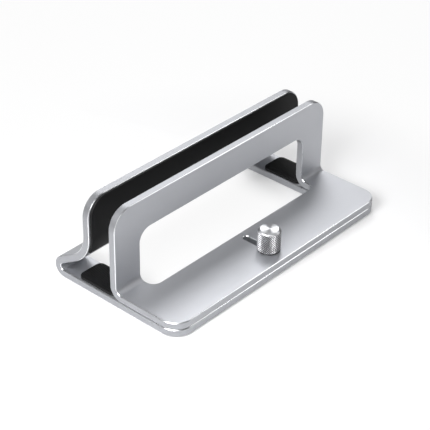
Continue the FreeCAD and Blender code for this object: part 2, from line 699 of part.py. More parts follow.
def make_pads():
    """All the pads that touch the laptop."""
    made = [make_rear_wall_pad()]
    made.append(make_flat_pad(
        "front_wall_pad", "XZ_Plane", f"-{FRONT_WALL_BACK}",
        (
            f"(-{SIDE_EDGE} + Sizes.front_pad_inset)", f"({SIDE_EDGE} - Sizes.front_pad_inset)",
            f"({WINDOW_TOP} + Sizes.front_pad_inset)", f"({WALL_TOP} - Sizes.front_pad_inset)",
        ),
        "Sizes.front_pad_radius", "Sizes.wall_pad_thickness", "Sizes.front_pad_rim", turned=True,
    ))
    # The pads end under the front bend, where it still clears them by the clearance
    headroom = (
        f"({FRONT_BEND_OUTER} - Sizes.seat_pad_thickness + Sizes.plate_gap"
        " - Sizes.seat_pad_clearance)"
    )
    tuck = f"({FRONT_BEND_Y} + sqrt({FRONT_BEND_OUTER} ^ 2 - {headroom} ^ 2))"
    inner = f"{SIDE_EDGE} - Sizes.arm_width + Sizes.seat_pad_inset"
    outer = f"{SIDE_EDGE} - Sizes.seat_pad_inset"
    for side, left, right in (
        ("left", f"(-({outer}))", f"(-({inner}))"), ("right", f"({inner})", f"({outer})"),
    ):
        made.append(make_flat_pad(
            f"seat_pad_{side}", "XY_Plane", BASE_TOP,
            (left, right, tuck, f"({REAR_WALL_FRONT} + Sizes.seat_pad_overrun)"),
            "Sizes.seat_pad_radius", "Sizes.seat_pad_thickness", "Sizes.seat_pad_rim",
            turned=False,
        ))
    return made


def make_grip_pads():
    """The four pads that the stand rests on, each in its recess."""
    return [
        make_flat_pad(
            f"grip_pad_{name}", "XY_Plane", f"{BASE_BOTTOM} + Sizes.grip_recess", sides,
            "Sizes.grip_radius - Sizes.grip_clearance",
            "Sizes.standoff + Sizes.grip_recess", "Sizes.grip_rim", turned=True,
        )
        for name, *sides in grip_places("Sizes.grip_clearance")
    ]


# Clamp: knurled knob, stud and washer
def place(target, x="0", y="0", z="0"):
    """Ties an object's place to expressions."""
    target.setExpression("Placement.Base.x", x)
    target.setExpression("Placement.Base.y", y)
    target.setExpression("Placement.Base.z", z)


def cylinder(name, radius, height, z="0"):
    shape = document.addObject("Part::Cylinder", name)
    shape.setExpression("Radius", radius)
    shape.setExpression("Height", height)
    place(shape, z=z)
    return shape


def cone(name, lower, upper, height, z="0"):
    shape = document.addObject("Part::Cone", name)
    shape.setExpression("Radius1", lower)
    shape.setExpression("Radius2", upper)
    shape.setExpression("Height", height)
    place(shape, z=z)
    return shape


def join(kind, name, base, tool):
    """A boolean of two objects: Part::Fuse, Part::Cut or Part::Common."""
    shape = document.addObject(kind, name)
    shape.Base = base
    shape.Tool = tool
    document.recompute()
    return shape


def knurl_shell():
    """Diamond knurl: rows of four-sided points between two families of helical grooves."""
    count = int(number("Sizes.knurl_count"))
    rows = int(number("Sizes.knurl_rows"))
    height = number("Sizes.knob_height")
    crest = number("Sizes.knob_diameter") / 2
    root = crest - number("Sizes.knurl_depth")

    def at(half_turns, half_rows):
        """Tips and groove crossings take turns along every half row."""
        radius = crest if (half_turns + half_rows) % 2 == 0 else root
        angle = math.pi * half_turns / count
        return Vector(
            radius * math.cos(angle), radius * math.sin(angle), height * half_rows / (2 * rows)
        )

    faces = []
    for half_rows in range(2 * rows + 1):
        for half_turns in range(half_rows % 2, 2 * count, 2):
            tip = at(half_turns, half_rows)
            right, left = at(half_turns + 1, half_rows), at(half_turns - 1, half_rows)
            if half_rows < 2 * rows:
                above = at(half_turns, half_rows + 1)
                faces.append((tip, right, above))
                faces.append((tip, above, left))
            if half_rows > 0:
                below = at(half_turns, half_rows - 1)
                faces.append((tip, below, right))
                faces.append((tip, left, below))
    rings = [[at(half_turns, level) for half_turns in range(2 * count)] for level in (0, 2 * rows)]
    faces.append(tuple(reversed(rings[0])))
    faces.append(tuple(rings[1]))
    planes = [Part.Face(Part.makePolygon(list(face) + [face[0]])) for face in faces]
    return Part.makeSolid(Part.makeShell(planes))


def make_knob():
    radius = "Sizes.knob_diameter / 2"
    top, foot = "Sizes.knob_chamfer", "Sizes.knob_foot_chamfer"
    knurl = document.addObject("Part::Feature", "knob_knurl")
    knurl.Shape = knurl_shell()
    foot_cone = cone("knob_foot", f"{radius} - {foot}", radius, foot)
    barrel = cylinder("knob_barrel", radius, f"Sizes.knob_height - {top} - {foot}", z=foot)
    top_cone = cone("knob_top", radius, f"{radius} - {top}", top, z=f"Sizes.knob_height - {top}")
    lower = join("Part::Fuse", "knob_lower", foot_cone, barrel)
    turned = join("Part::Fuse", "knob_turned", lower, top_cone)
    crossed = join("Part::Common", "knob_crossed", knurl, turned)
    bore = cylinder("knob_bore", "Sizes.stud_diameter / 2", "Sizes.stud_seat")
    knob = join("Part::Cut", "knob", crossed, bore)
    place(knob, y=KNOB_Y, z=f"{FOOT_TOP} + Sizes.washer_thickness")
    return knob


def make_pin(label, diameter, length, x, y, bottom):
    """An upright pin whose lower end has a small chamfer."""
    nose = "Sizes.pin_nose"
    tip = cone(f"{label}_nose", f"{diameter} / 2 - {nose}", f"{diameter} / 2", nose)
    shank = cylinder(f"{label}_shank", f"{diameter} / 2", f"{length} - {nose}", z=nose)
    pin = join("Part::Fuse", label, tip, shank)
    place(pin, x, y, bottom)
    return pin


def make_clamp():
    """The knob with its stud and washer."""
    knob_bottom = f"({FOOT_TOP} + Sizes.washer_thickness)"
    stud_bottom = f"({BASE_BOTTOM} + Sizes.stud_recess)"
    stud = make_pin(
        "knob_stud", "Sizes.stud_diameter", f"({knob_bottom} + Sizes.stud_seat - {stud_bottom})",
        "0", KNOB_Y, stud_bottom,
    )
    disc = cylinder("washer_disc", "Sizes.washer_diameter / 2", "Sizes.washer_thickness")
    eye = cylinder(
        "washer_eye", "Sizes.stud_diameter / 2 + Sizes.washer_clearance", "Sizes.washer_thickness"
    )
    washer = join("Part::Cut", "knob_washer", disc, eye)
    place(washer, y=KNOB_Y, z=FOOT_TOP)
    return [make_knob(), stud, washer]


def make_guide_pins():
    """Two pins pressed into the foot, which run in the base's grooves."""
    return [
        make_pin(
            f"guide_pin_{side}", "Sizes.guide_diameter", "(Sizes.guide_seat + Sizes.plate_gap"
            " + Sizes.guide_reach)",
            x, GUIDE_Y, f"{BASE_TOP} - Sizes.guide_reach",
        )
        for side, x in guide_places()
    ]


pieces = [make_rear_plate(), make_front_plate()]
pieces += make_pads() + make_grip_pads() + make_clamp() + make_guide_pins()
document.recompute()

for made in document.Objects:
    if {"Invalid", "Error"} & set(made.State):
        raise RuntimeError(f"{made.Label} did not build: {made.State}")
for piece in pieces:
    if piece.Shape.isNull() or not piece.Shape.isValid():
        raise RuntimeError(f"{piece.Label} has no valid shape")
    if len(piece.Shape.Solids) != 1:
        raise RuntimeError(f"{piece.Label} has {len(piece.Shape.Solids)} solids")

os.makedirs("parts", exist_ok=True)
for piece in pieces:
    piece.Shape.exportStep(f"parts/{piece.Label}.step")
    box = piece.Shape.optimalBoundingBox()
    print(
        f"{piece.Label:24s} x {box.XMin:8.2f} {box.XMax:8.2f}  y {box.YMin:8.2f} {box.YMax:8.2f}"
        f"  z {box.ZMin:7.2f} {box.ZMax:7.2f}  volume {piece.Shape.Volume:10.1f}"
    )
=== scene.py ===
import math

import bmesh
import bpy
from bpy.props import FloatProperty, FloatVectorProperty, IntProperty, PointerProperty
from bpy.types import Operator, Panel, PropertyGroup
from bpy.utils import register_class, unregister_class
from mathutils import Matrix, Vector
from mathutils.geometry import tessellate_polygon


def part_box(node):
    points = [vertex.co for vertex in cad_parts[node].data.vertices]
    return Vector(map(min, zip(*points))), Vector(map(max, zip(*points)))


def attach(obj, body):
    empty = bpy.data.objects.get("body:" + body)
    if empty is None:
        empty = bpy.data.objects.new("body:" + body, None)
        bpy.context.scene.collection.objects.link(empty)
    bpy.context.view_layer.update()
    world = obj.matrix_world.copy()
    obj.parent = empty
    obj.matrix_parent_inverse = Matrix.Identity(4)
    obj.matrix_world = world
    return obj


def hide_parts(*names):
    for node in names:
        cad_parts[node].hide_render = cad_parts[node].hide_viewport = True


bl_info = {
    "name": "Vertical laptop stand",
    "version": (1, 0, 0),
    "blender": (4, 5, 0),
    "location": "View3D > Sidebar > Stand",
    "description": "Two press-bent aluminium plates, silicone pads and a knurled clamp knob",
    "category": "Add Mesh",
}

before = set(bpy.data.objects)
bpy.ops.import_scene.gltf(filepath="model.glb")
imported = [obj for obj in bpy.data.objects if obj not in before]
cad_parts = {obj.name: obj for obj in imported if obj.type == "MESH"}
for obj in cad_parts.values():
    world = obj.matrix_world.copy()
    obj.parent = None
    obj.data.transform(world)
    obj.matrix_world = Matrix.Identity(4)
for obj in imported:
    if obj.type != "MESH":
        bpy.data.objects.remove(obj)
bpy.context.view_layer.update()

MM = 0.001
FINISH = "finish_"
REAR_LOW, REAR_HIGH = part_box("rear_plate")
FOOT_LOW, FOOT_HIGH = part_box("front_plate")
REAR_PAD_LOW, REAR_PAD_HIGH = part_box("rear_wall_pad")
KNOB_LOW, KNOB_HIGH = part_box("knob")
STUD_LOW, STUD_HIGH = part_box("knob_stud")
KNOB_X = (KNOB_LOW.x + KNOB_HIGH.x) / 2
KNOB_Y = (KNOB_LOW.y + KNOB_HIGH.y) / 2
GRIP_PADS = ("grip_pad_front_left", "grip_pad_front_right", "grip_pad_rear_left", "grip_pad_rear_right")
SEAT_PADS = ("seat_pad_left", "seat_pad_right")
GUIDE_PINS = ("guide_pin_left", "guide_pin_right")

UP = Matrix.Identity(4)
DOWN = Matrix.Scale(-1, 4, (0, 0, 1))
BACKWARD = Matrix(((1, 0, 0, 0), (0, 0, 1, 0), (0, 1, 0, 0), (0, 0, 0, 1)))

# Share of the satin colour left on the cut edges: painted shade that darkens them.
CUT_EDGE_PAINTED_SHADE = 0.74
THREAD_COLUMNS = 24
THREAD_ROWS = 6

CAMERA_PLACE = (-587.6, -510.7, 528.5)
CAMERA_AHEAD = (0.6279, 0.5534, -0.5471)
# Where the seen floor glows as painted light that lifts the stand's shade: behind the front edge and between
# the arms.
PAINTED_GLOW_BEHIND = (-45 * MM, -10 * MM)
PAINTED_GLOW_ACROSS = (88 * MM, 50 * MM)
WHITE_FAR = (130 * MM, 230 * MM)
AIM = (0.0, 0.0, 0.03)
LAMPS = (
    ("key", (0.55, 0.5, 0.95), AIM, 0.5),
    ("back", (0.8, 0.75, 0.75), AIM, 0.8),
    ("top", (0.0, 0.1, 1.3), AIM, 1.0),
    ("left", (-0.46, -0.075, 0.4), (-0.06, 0.0, 0.03), 0.3),
    ("near", (-0.24, -0.08, 0.2), (-0.09, -0.01, 0.04), 0.18),
    ("edge", (0.78, -0.68, 0.69), AIM, 0.3),
)


# Sizes and colours that a user would change

def length(name, description, millimetres):
    """A length that is shown in the scene's units."""
    return FloatProperty(
        name=name, description=description, default=millimetres * MM, precision=5, unit="LENGTH",
    )


def angle(name, description, degrees):
    """An angle that is shown in degrees."""
    return FloatProperty(
        name=name, description=description, default=math.radians(degrees), unit="ROTATION",
    )


def power(name, description, watts):
    """The power of a lamp."""
    return FloatProperty(name=name, description=description, default=watts, unit="POWER")


def colour(name, description, value):
    """A linear colour."""
    return FloatVectorProperty(
        name=name, description=description, default=value, size=3, subtype="COLOR", min=0.0, max=1.0,
    )


class StandPlateSizes(PropertyGroup):
    """Sizes that both bent plates share, and those of each."""

    sheet: length("Sheet", "Thickness of both plates", 5.0)
    chamfer: length("Edge chamfer", "Bright chamfer round every plate edge", 0.4)
    front_corner: length("Front corners", "Plan corners at the front edge", 12.0)
    wall_corner: length("Wall corners", "Top corners of both walls", 14.0)
    arm: length("Side arm", "Width of the base beside its window", 22.0)
    leg: length("Leg", "Width of the front plate beside its window", 21.5)
    hairpin: length("Hairpin radius", "Inner radius of the fold behind", 2.4)
    flange_rise: angle("Flange rise", "Slope of the flange between fold and rear wall", 31.6)
    rear_bend: length("Rear bend radius", "Inner radius of the bend into the rear wall", 20.5)
    front_bend: length("Front bend radius", "Inner radius between foot and front wall", 4.0)
    rear_wall_inset: length("Rear wall inset", "Front of the rear wall ahead of the fold", 31.9)
    foot: length("Foot", "Front edge to the window", 39.5)
    bar_setback: length("Bar setback", "Base window ahead of the foot's window", 1.0)
    rear_margin: length("Rear margin", "Flange left between the window and the bend", 2.0)
    upper_bar: length("Upper bar", "Front wall above its window", 22.0)
    base_front_round: length("Base window, front", "Front corners of the base window", 6.0)
    base_rear_round: length("Base window, rear", "Its corners where it ends in the flange", 2.0)
    foot_round: length("Foot window", "Corners of the window in the foot", 6.0)
    wall_round: length("Wall window", "Upper corners of the wall's window", 9.0)
    travel: length("Travel", "Slide of the front plate", 19.0)
    slot_width: length("Slot", "Width of the clamp slot", 4.4)
    thread_hole: length("Clamp hole", "Radius of the threaded hole", 2.05)
    groove_width: length("Guide groove", "Width of the blind guide grooves", 4.2)
    groove_depth: length("Groove depth", "Depth of the blind guide grooves", 3.1)
    socket_depth: length("Socket depth", "Guide pin sockets under the foot", 3.0)
    recess_depth: length("Recess depth", "Recesses of the grip pads", 0.5)
    recess_play: length("Recess play", "Round each grip pad", 0.15)


class StandPadSizes(PropertyGroup):
    """Corners and rims of the silicone pads."""

    rear_top_round: length("Rear pad, top", "Upper corners of the rear wall pad", 12.8)
    rear_foot_round: length("Rear pad, foot", "Lower corners of the rear wall pad", 1.0)
    rear_wrap: angle("Wrap", "Rear wall pad wrapped down the bend", 27.0)
    rear_rim: length("Rear pad rim", "Rounded rim of the rear wall pad", 0.6)
    front_round: length("Front pad", "Corners of the front wall pad", 6.4)
    front_rim: length("Front pad rim", "Rounded rim of the front wall pad", 0.4)
    seat_round: length("Seat pads", "Corners of the seat pads", 4.0)
    seat_rim: length("Seat pad rim", "Rounded rim of the seat pads", 0.5)
    rib_pitch: length("Seat rib pitch", "From one groove of the seat pads to the next", 1.3)
    rib_depth: length("Seat rib depth", "Depth of the grooves between the ribs", 0.35)
    rib_margin: length("Seat rib margin", "Smooth border left round the ribs", 2.0)
    grip_round: length("Grip pads", "Corners of the grip pads", 4.0)
    grip_rim: length("Grip pad rim", "Rounded rim of the grip pads", 0.3)


class StandKnobSizes(PropertyGroup):
    """Turned and knurled forms of the clamp knob and its stud."""

    top_chamfer: length("Top chamfer", "Turned chamfer at the top", 1.6)
    foot_chamfer: length("Foot chamfer", "Turned chamfer at the foot", 0.4)
    top_ease: length("Top ease", "Broken edge between the chamfer and the top", 0.12)
    bore_depth: length("Bore", "Seat of the stud in the knob", 9.0)
    knurl_depth: length("Knurl depth", "From the crests to the valleys", 0.5)
    crest_flat: length("Crest overrun", "Crest height that turning took off", 0.06)
    knurl_count: IntProperty(name="Diamonds round", description="Diamonds round the knob", default=32)
    knurl_rows: IntProperty(name="Diamond rows", description="Diamonds up the knob", default=9)
    thread_pitch: length("Thread pitch", "Rise of the stud's thread in a turn", 0.7)
    thread_depth: length("Thread depth", "From the thread's crest to its root", 0.36)
    stud_nose: length("Stud nose", "Chamfer at the stud's free end", 0.4)


class StandFinishes(PropertyGroup):
    """Colours of the finishes."""

    satin: colour("Satin aluminium", "Bead-blasted and anodised plates", (0.53, 0.54, 0.568))
    chamfer: colour("Chamfers", "Bright chamfers of the plates", (0.80, 0.81, 0.83))
    turned: colour("Turned aluminium", "Knob", (0.50, 0.505, 0.52))
    # The crest and valley colours are painted light: a painted highlight on the knurl's crests and painted
    # shade in its valleys.
    crest: colour("Knurl crests", "Bright points of the knurl", (0.93, 0.93, 0.95))
    valley: colour("Knurl valleys", "Dull ground of the knurl", (0.22, 0.22, 0.23))
    silicone: colour("Silicone", "Pads", (0.005, 0.005, 0.0055))
    nylon: colour("Nylon", "Washer", (0.018, 0.018, 0.019))
    steel: colour("Steel", "Stud and guide pins", (0.52, 0.51, 0.50))
    floor: colour("Floor", "Plain pale floor", (0.86, 0.86, 0.865))


class StandStageSettings(PropertyGroup):
    """Camera and lamps."""

    azimuth: angle("Azimuth", "Turn of the view from +Y towards +X", 48.607)
    roll: angle("Roll", "Roll of the camera", 0.848)
    lens: FloatProperty(name="Lens", description="Focal length", default=120.04, unit="CAMERA")
    key_power: power("Key", "High lamp behind and right", 4.5)
    back_power: power("Back", "Wide lamp behind and right", 1.1)
    top_power: power("Top", "Wide lamp overhead", 3.8)
    left_power: power("Left", "Lamp on the left", 3.3)
    near_power: power("Near", "Small near lamp on the left", 0.5)
    edge_power: power("Edges", "Lamp in front, for the chamfers and bends", 1.0)
    sky_low: FloatProperty(name="Sky, low", description="Even light from the horizon", default=0.04)
    sky_top: FloatProperty(name="Sky, top", description="Even light from above", default=0.15)
    white_front: FloatProperty(
        name="White, in front", description="Share of white in the seen floor ahead of the stand",
        default=0.26, min=0.0, max=1.0,
    )
    # Painted light: the share of glowing white that lifts the stand's shade on the floor beneath and behind
    # it.
    painted_glow_beneath: FloatProperty(
        name="White, beneath", description="Share of white in the seen floor beneath and behind the stand",
        default=0.88, min=0.0, max=1.0,
    )


PROPERTY_GROUPS = (
    ("stand_plates", StandPlateSizes),
    ("stand_pads", StandPadSizes),
    ("stand_knob", StandKnobSizes),
    ("stand_finishes", StandFinishes),
    ("stand_stage", StandStageSettings),
)


# Node trees

class NodeBoard:
    """Short calls that add nodes to a tree and link them."""

    def __init__(self, tree):
        self.tree = tree

    def feed(self, socket, value):
        if isinstance(value, bpy.types.NodeSocket):
            self.tree.links.new(value, socket)
        elif value is not None:
            socket.default_value = value

    def add(self, kind, inputs=None, **fields):
        node = self.tree.nodes.new(kind)
        for name, value in fields.items():
            setattr(node, name, value)
        for key, value in (inputs or {}).items():
            self.feed(node.inputs[key], value)
        return node

    def math(self, operation, first, second=None):
        kind = "ShaderNodeMath"
        inputs = {0: first} if second is None else {0: first, 1: second}
        return self.add(kind, inputs, operation=operation).outputs[0]


def geometry_tree(name, numbers):
    """A geometry tree with named inputs, and its board, input node and identifiers."""
    tree = bpy.data.node_groups.new(name, "GeometryNodeTree")
    face = tree.interface
    face.new_socket("Geometry", in_out="INPUT", socket_type="NodeSocketGeometry")
    for title, kind in numbers:
        face.new_socket(title, in_out="INPUT", socket_type=kind)
    face.new_socket("Material", in_out="INPUT", socket_type="NodeSocketMaterial")
    face.new_socket("Geometry", in_out="OUTPUT", socket_type="NodeSocketGeometry")
    board = NodeBoard(tree)
    return tree, board, board.add("NodeGroupInput").outputs


def close_tree(board, geometry, inputs):
    """Ends a tree in Realize Instances and Set Material."""
    realized = board.add("GeometryNodeRealizeInstances", {"Geometry": geometry}).outputs[0]
    painted = board.add("GeometryNodeSetMaterial", {"Geometry": realized, "Material": inputs["Material"]})
    board.add("NodeGroupOutput", {"Geometry": painted.outputs[0]})


def press_bend_tree():
    """Bends a flat sheet round X: what lies past the start follows an arc, then runs on straight."""
    tree, board, inputs = geometry_tree("press_bend", (
        ("Bend start", "NodeSocketFloat"), ("Turn", "NodeSocketFloat"),
        ("Middle radius", "NodeSocketFloat"), ("Middle plane", "NodeSocketFloat"),
    ))
    start, turn = inputs["Bend start"], inputs["Turn"]
    radius, plane = inputs["Middle radius"], inputs["Middle plane"]
    place = board.add("GeometryNodeInputPosition").outputs[0]
    x, y, z = board.add("ShaderNodeSeparateXYZ", {0: place}).outputs
    side = board.math("SIGN", turn)
    arc_length = board.math("MULTIPLY", radius, board.math("ABSOLUTE", turn))
    past = board.math("SUBTRACT", y, start)
    before = board.math("MINIMUM", past, 0.0)
    along = board.math("MINIMUM", board.math("MAXIMUM", past, 0.0), arc_length)
    turned = board.math("DIVIDE", along, radius)
    rest = board.math("MAXIMUM", board.math("SUBTRACT", past, arc_length), 0.0)
    height = board.math("SUBTRACT", z, plane)
    lever = board.math("SUBTRACT", radius, board.math("MULTIPLY", side, height))
    sine, cosine = board.math("SINE", turned), board.math("COSINE", turned)
    forward = board.math("ADD", board.math("MULTIPLY", lever, sine), board.math("MULTIPLY", rest, cosine))
    new_y = board.math("ADD", board.math("ADD", start, before), forward)
    sagitta = board.math("SUBTRACT", radius, board.math("MULTIPLY", lever, cosine))
    lift = board.math("ADD", sagitta, board.math("MULTIPLY", rest, sine))
    new_z = board.math("ADD", plane, board.math("MULTIPLY", side, lift))
    new_place = board.add("ShaderNodeCombineXYZ", {0: x, 1: new_y, 2: new_z}).outputs[0]
    bent = board.add("GeometryNodeSetPosition", {"Geometry": inputs["Geometry"], "Position": new_place})
    close_tree(board, bent.outputs[0], inputs)
    return tree


def wrapped_grid(board, columns, rows, radius_of, height_of):
    """A grid rolled into a closed barrel: its first and last rows lie on the axis."""
    grid = board.add("GeometryNodeMeshGrid", {
        "Vertices X": board.math("ADD", columns, 1.0), "Vertices Y": rows,
    })
    index = board.add("GeometryNodeInputIndex").outputs[0]
    column = board.math("FLOOR", board.math("DIVIDE", board.math("ADD", index, 0.5), rows))
    row = board.math("SUBTRACT", index, board.math("MULTIPLY", column, rows))
    turned = board.math("MULTIPLY", board.math("DIVIDE", column, columns), math.tau)
    last = board.math("SUBTRACT", rows, 1.5)
    inside = board.math("MULTIPLY", board.math("GREATER_THAN", row, 0.5), board.math("LESS_THAN", row, last))
    radius = board.math("MULTIPLY", radius_of(column, row), inside)
    place = board.add("ShaderNodeCombineXYZ", {
        0: board.math("MULTIPLY", radius, board.math("COSINE", turned)),
        1: board.math("MULTIPLY", radius, board.math("SINE", turned)),
        2: height_of(row),
    }).outputs[0]
    rolled = board.add("GeometryNodeSetPosition", {"Geometry": grid.outputs[0], "Position": place})
    joined = board.add("GeometryNodeMergeByDistance", {"Geometry": rolled.outputs[0], "Distance": 1e-6})
    return joined.outputs[0]


def diamond_knurl_tree():
    """Cuts a turned blank with a knurled barrel: crests and valleys alternate on its grid."""
    tree, board, inputs = geometry_tree("diamond_knurl", (
        ("Diamonds round", "NodeSocketInt"), ("Diamond rows", "NodeSocketInt"),
        ("Crest radius", "NodeSocketFloat"), ("Valley radius", "NodeSocketFloat"),
        ("Height", "NodeSocketFloat"), ("Axis", "NodeSocketVector"),
    ))
    columns = board.math("MULTIPLY", inputs["Diamonds round"], 2.0)
    rows = board.math("ADD", board.math("MULTIPLY", inputs["Diamond rows"], 2.0), 7.0)
    half_pitch = board.math("DIVIDE", inputs["Height"], board.math("MULTIPLY", inputs["Diamond rows"], 2.0))

    def radius_of(column, row):
        odd = board.math("MODULO", board.math("ADD", column, board.math("ADD", row, 0.01)), 2.0)
        crest = board.math("GREATER_THAN", odd, 1.0)
        depth = board.math("SUBTRACT", inputs["Crest radius"], inputs["Valley radius"])
        return board.math("ADD", inputs["Valley radius"], board.math("MULTIPLY", crest, depth))

    def height_of(row):
        inner = board.math("MINIMUM", board.math("MAXIMUM", row, 1.0), board.math("SUBTRACT", rows, 2.0))
        return board.math("MULTIPLY", board.math("SUBTRACT", inner, 3.0), half_pitch)

    barrel = wrapped_grid(board, columns, rows, radius_of, height_of)
    split = board.add("GeometryNodeTriangulate", {"Mesh": barrel}, quad_method="SHORTEST_DIAGONAL")
    outward = board.add("GeometryNodeFlipFaces", {"Mesh": split.outputs[0]})
    moved = board.add("GeometryNodeTransform", {"Geometry": outward.outputs[0], "Translation": inputs["Axis"]})
    cut = board.add("GeometryNodeMeshBoolean", operation="INTERSECT", solver="EXACT")
    board.tree.links.new(inputs["Geometry"], cut.inputs["Mesh 2"])
    board.tree.links.new(moved.outputs[0], cut.inputs["Mesh 2"])
    close_tree(board, cut.outputs[0], inputs)
    return tree


def ribbed_top_tree():
    """Cuts a row of V grooves that run along X into the top of a pad."""
    tree, board, inputs = geometry_tree("ribbed_top", (
        ("Grooves", "NodeSocketInt"), ("Pitch", "NodeSocketFloat"), ("Depth", "NodeSocketFloat"),
        ("Length", "NodeSocketFloat"), ("Start", "NodeSocketVector"),
    ))
    step = board.add("ShaderNodeCombineXYZ", {"Y": inputs["Pitch"]}).outputs[0]
    row = board.add("GeometryNodeMeshLine", {
        "Count": inputs["Grooves"], "Start Location": inputs["Start"], "Offset": step,
    }).outputs[0]
    prism = board.add("GeometryNodeMeshCylinder", {
        "Vertices": 4, "Radius": inputs["Depth"], "Depth": inputs["Length"],
    }).outputs[0]
    placed = board.add("GeometryNodeInstanceOnPoints", {
        "Points": row, "Instance": prism, "Rotation": (0.0, math.pi / 2, 0.0),
    }).outputs[0]
    prisms = board.add("GeometryNodeRealizeInstances", {"Geometry": placed}).outputs[0]
    cut = board.add(
        "GeometryNodeMeshBoolean", {"Mesh 1": inputs["Geometry"]},
        operation="DIFFERENCE", solver="EXACT",
    )
    board.tree.links.new(prisms, cut.inputs["Mesh 2"])
    close_tree(board, cut.outputs[0], inputs)
    return tree


def screw_thread_tree():
    """A round bar with a triangular thread that rises by one pitch in a turn."""
    tree, board, inputs = geometry_tree("screw_thread", (
        ("Radius", "NodeSocketFloat"), ("Pitch", "NodeSocketFloat"), ("Depth", "NodeSocketFloat"),
        ("Height", "NodeSocketFloat"), ("Nose", "NodeSocketFloat"),
        ("Axis", "NodeSocketVector"), ("Columns", "NodeSocketInt"), ("Rows per turn", "NodeSocketInt"),
    ))
    step = board.math("DIVIDE", inputs["Pitch"], inputs["Rows per turn"])
    rows = board.math("ADD", board.math("CEIL", board.math("DIVIDE", inputs["Height"], step)), 3.0)

    def height_of(row):
        rise = board.math("MULTIPLY", board.math("MAXIMUM", board.math("SUBTRACT", row, 1.0), 0.0), step)
        return board.math("MINIMUM", rise, inputs["Height"])

    def radius_of(column, row):
        rise = height_of(row)
        turns = board.math("SUBTRACT", board.math("DIVIDE", rise, inputs["Pitch"]),
                           board.math("DIVIDE", column, inputs["Columns"]))
        crest = board.math("MULTIPLY", board.math("PINGPONG", turns, 0.5), 2.0)
        groove = board.math("MULTIPLY", crest, inputs["Depth"])
        full = board.math("SUBTRACT", inputs["Radius"], groove)
        nose = board.math("ADD", board.math("SUBTRACT", inputs["Radius"], inputs["Nose"]), rise)
        return board.math("MINIMUM", full, nose)

    bar = wrapped_grid(board, inputs["Columns"], rows, radius_of, height_of)
    moved = board.add("GeometryNodeTransform", {"Geometry": bar, "Translation": inputs["Axis"]})
    close_tree(board, moved.outputs[0], inputs)
    return tree


def add_tree(obj, tree, material, **values):
    """Puts a tree on an object and sets its inputs by their identifiers."""
    modifier = obj.modifiers.new(tree.name, "NODES")
    modifier.node_group = tree
    named = {item.name: item.identifier for item in tree.interface.items_tree if item.in_out == "INPUT"}
    for name, value in values.items():
        modifier[named[name.replace("_", " ")]] = value
    modifier[named["Material"]] = material
    return modifier


def plain_mesh(obj):
    """Turns what the modifiers make into the object's own mesh and takes them off."""
    bpy.context.view_layer.update()
    ready = obj.evaluated_get(bpy.context.evaluated_depsgraph_get())
    mesh = bpy.data.meshes.new_from_object(ready)
    obj.modifiers.clear()
    obj.data = mesh
    return obj


def shade(obj, degrees):
    """Smooth shading with sharp edges past an angle, led by the larger faces."""
    mesh = obj.data
    mesh.polygons.foreach_set("use_smooth", [True] * len(mesh.polygons))
    mesh.set_sharp_from_angle(angle=math.radians(degrees))
    weighted = obj.modifiers.new("weighted_normals", "WEIGHTED_NORMAL")
    weighted.keep_sharp = True
    return plain_mesh(obj)


# Flat blanks

def rounded_box(left, right, front, back, radii, steps=10):
    """An outline with round corners, front left first, as a function of how far it is drawn in."""
    corners = (
        (left, front, 1, 1, 180), (right, front, -1, 1, 270),
        (right, back, -1, -1, 0), (left, back, 1, -1, 90),
    )

    def ring(inset):
        points = []
        for (x, y, inward_x, inward_y, start), radius in zip(corners, radii):
            centre = Vector((x + inward_x * radius, y + inward_y * radius))
            if radius == 0:
                points.append(centre + Vector((inward_x, inward_y)) * inset)
                continue
            for step in range(steps + 1):
                turn = math.radians(start + 90 * step / steps)
                points.append(centre + Vector((math.cos(turn), math.sin(turn))) * (radius - inset))
        return [p for i, p in enumerate(points) if (p - points[i - 1]).length > 1e-7]

    return ring


def round_hole(x, y, radius):
    """A circle as an outline."""
    return rounded_box(x - radius, x + radius, y - radius, y + radius, (radius,) * 4, steps=8)


def add_wall(mesh, outline, levels, kinds=None):
    """Joins an outline's rings from level to level and returns its first and last ring."""
    rings = [[mesh.verts.new((p.x, p.y, height)) for p in outline(inset)] for inset, height in levels]
    for row, (here, there) in enumerate(zip(rings, rings[1:])):
        for spot in range(len(here)):
            after = (spot + 1) % len(here)
            face = mesh.faces.new((here[spot], here[after], there[after], there[spot]))
            if kinds and kinds[row]:
                face[mesh.faces.layers.float[kinds[row]]] = 1.0
    return rings[0], rings[-1]


def add_cap(mesh, *rings):
    """Fills the first ring with faces and leaves the others open."""
    corners = [corner for ring in rings for corner in ring]
    for triangle in tessellate_polygon([[corner.co for corner in ring] for ring in rings]):
        mesh.faces.new([corners[number] for number in triangle])


def add_recess(mesh, outline, mouth, floor):
    """The wall and floor of a blind cut; returns the ring at its mouth."""
    rim, bottom = add_wall(mesh, outline, ((0.0, mouth), (0.0, floor)))
    add_cap(mesh, bottom)
    return rim


def finish_blank(name, mesh, lines=(), place=UP):
    """Cuts the blank across where it will bend, turns its faces outwards and makes the object."""
    for line in lines:
        everything = mesh.verts[:] + mesh.edges[:] + mesh.faces[:]
        bmesh.ops.bisect_plane(
            mesh, geom=everything, dist=1e-7, plane_co=(0, line, 0), plane_no=(0, 1, 0),
        )
    mesh.transform(place)
    bmesh.ops.recalc_face_normals(mesh, faces=mesh.faces)
    data = bpy.data.meshes.new(name)
    mesh.to_mesh(data)
    mesh.free()
    obj = bpy.data.objects.new(name, data)
    bpy.context.scene.collection.objects.link(obj)
    return obj


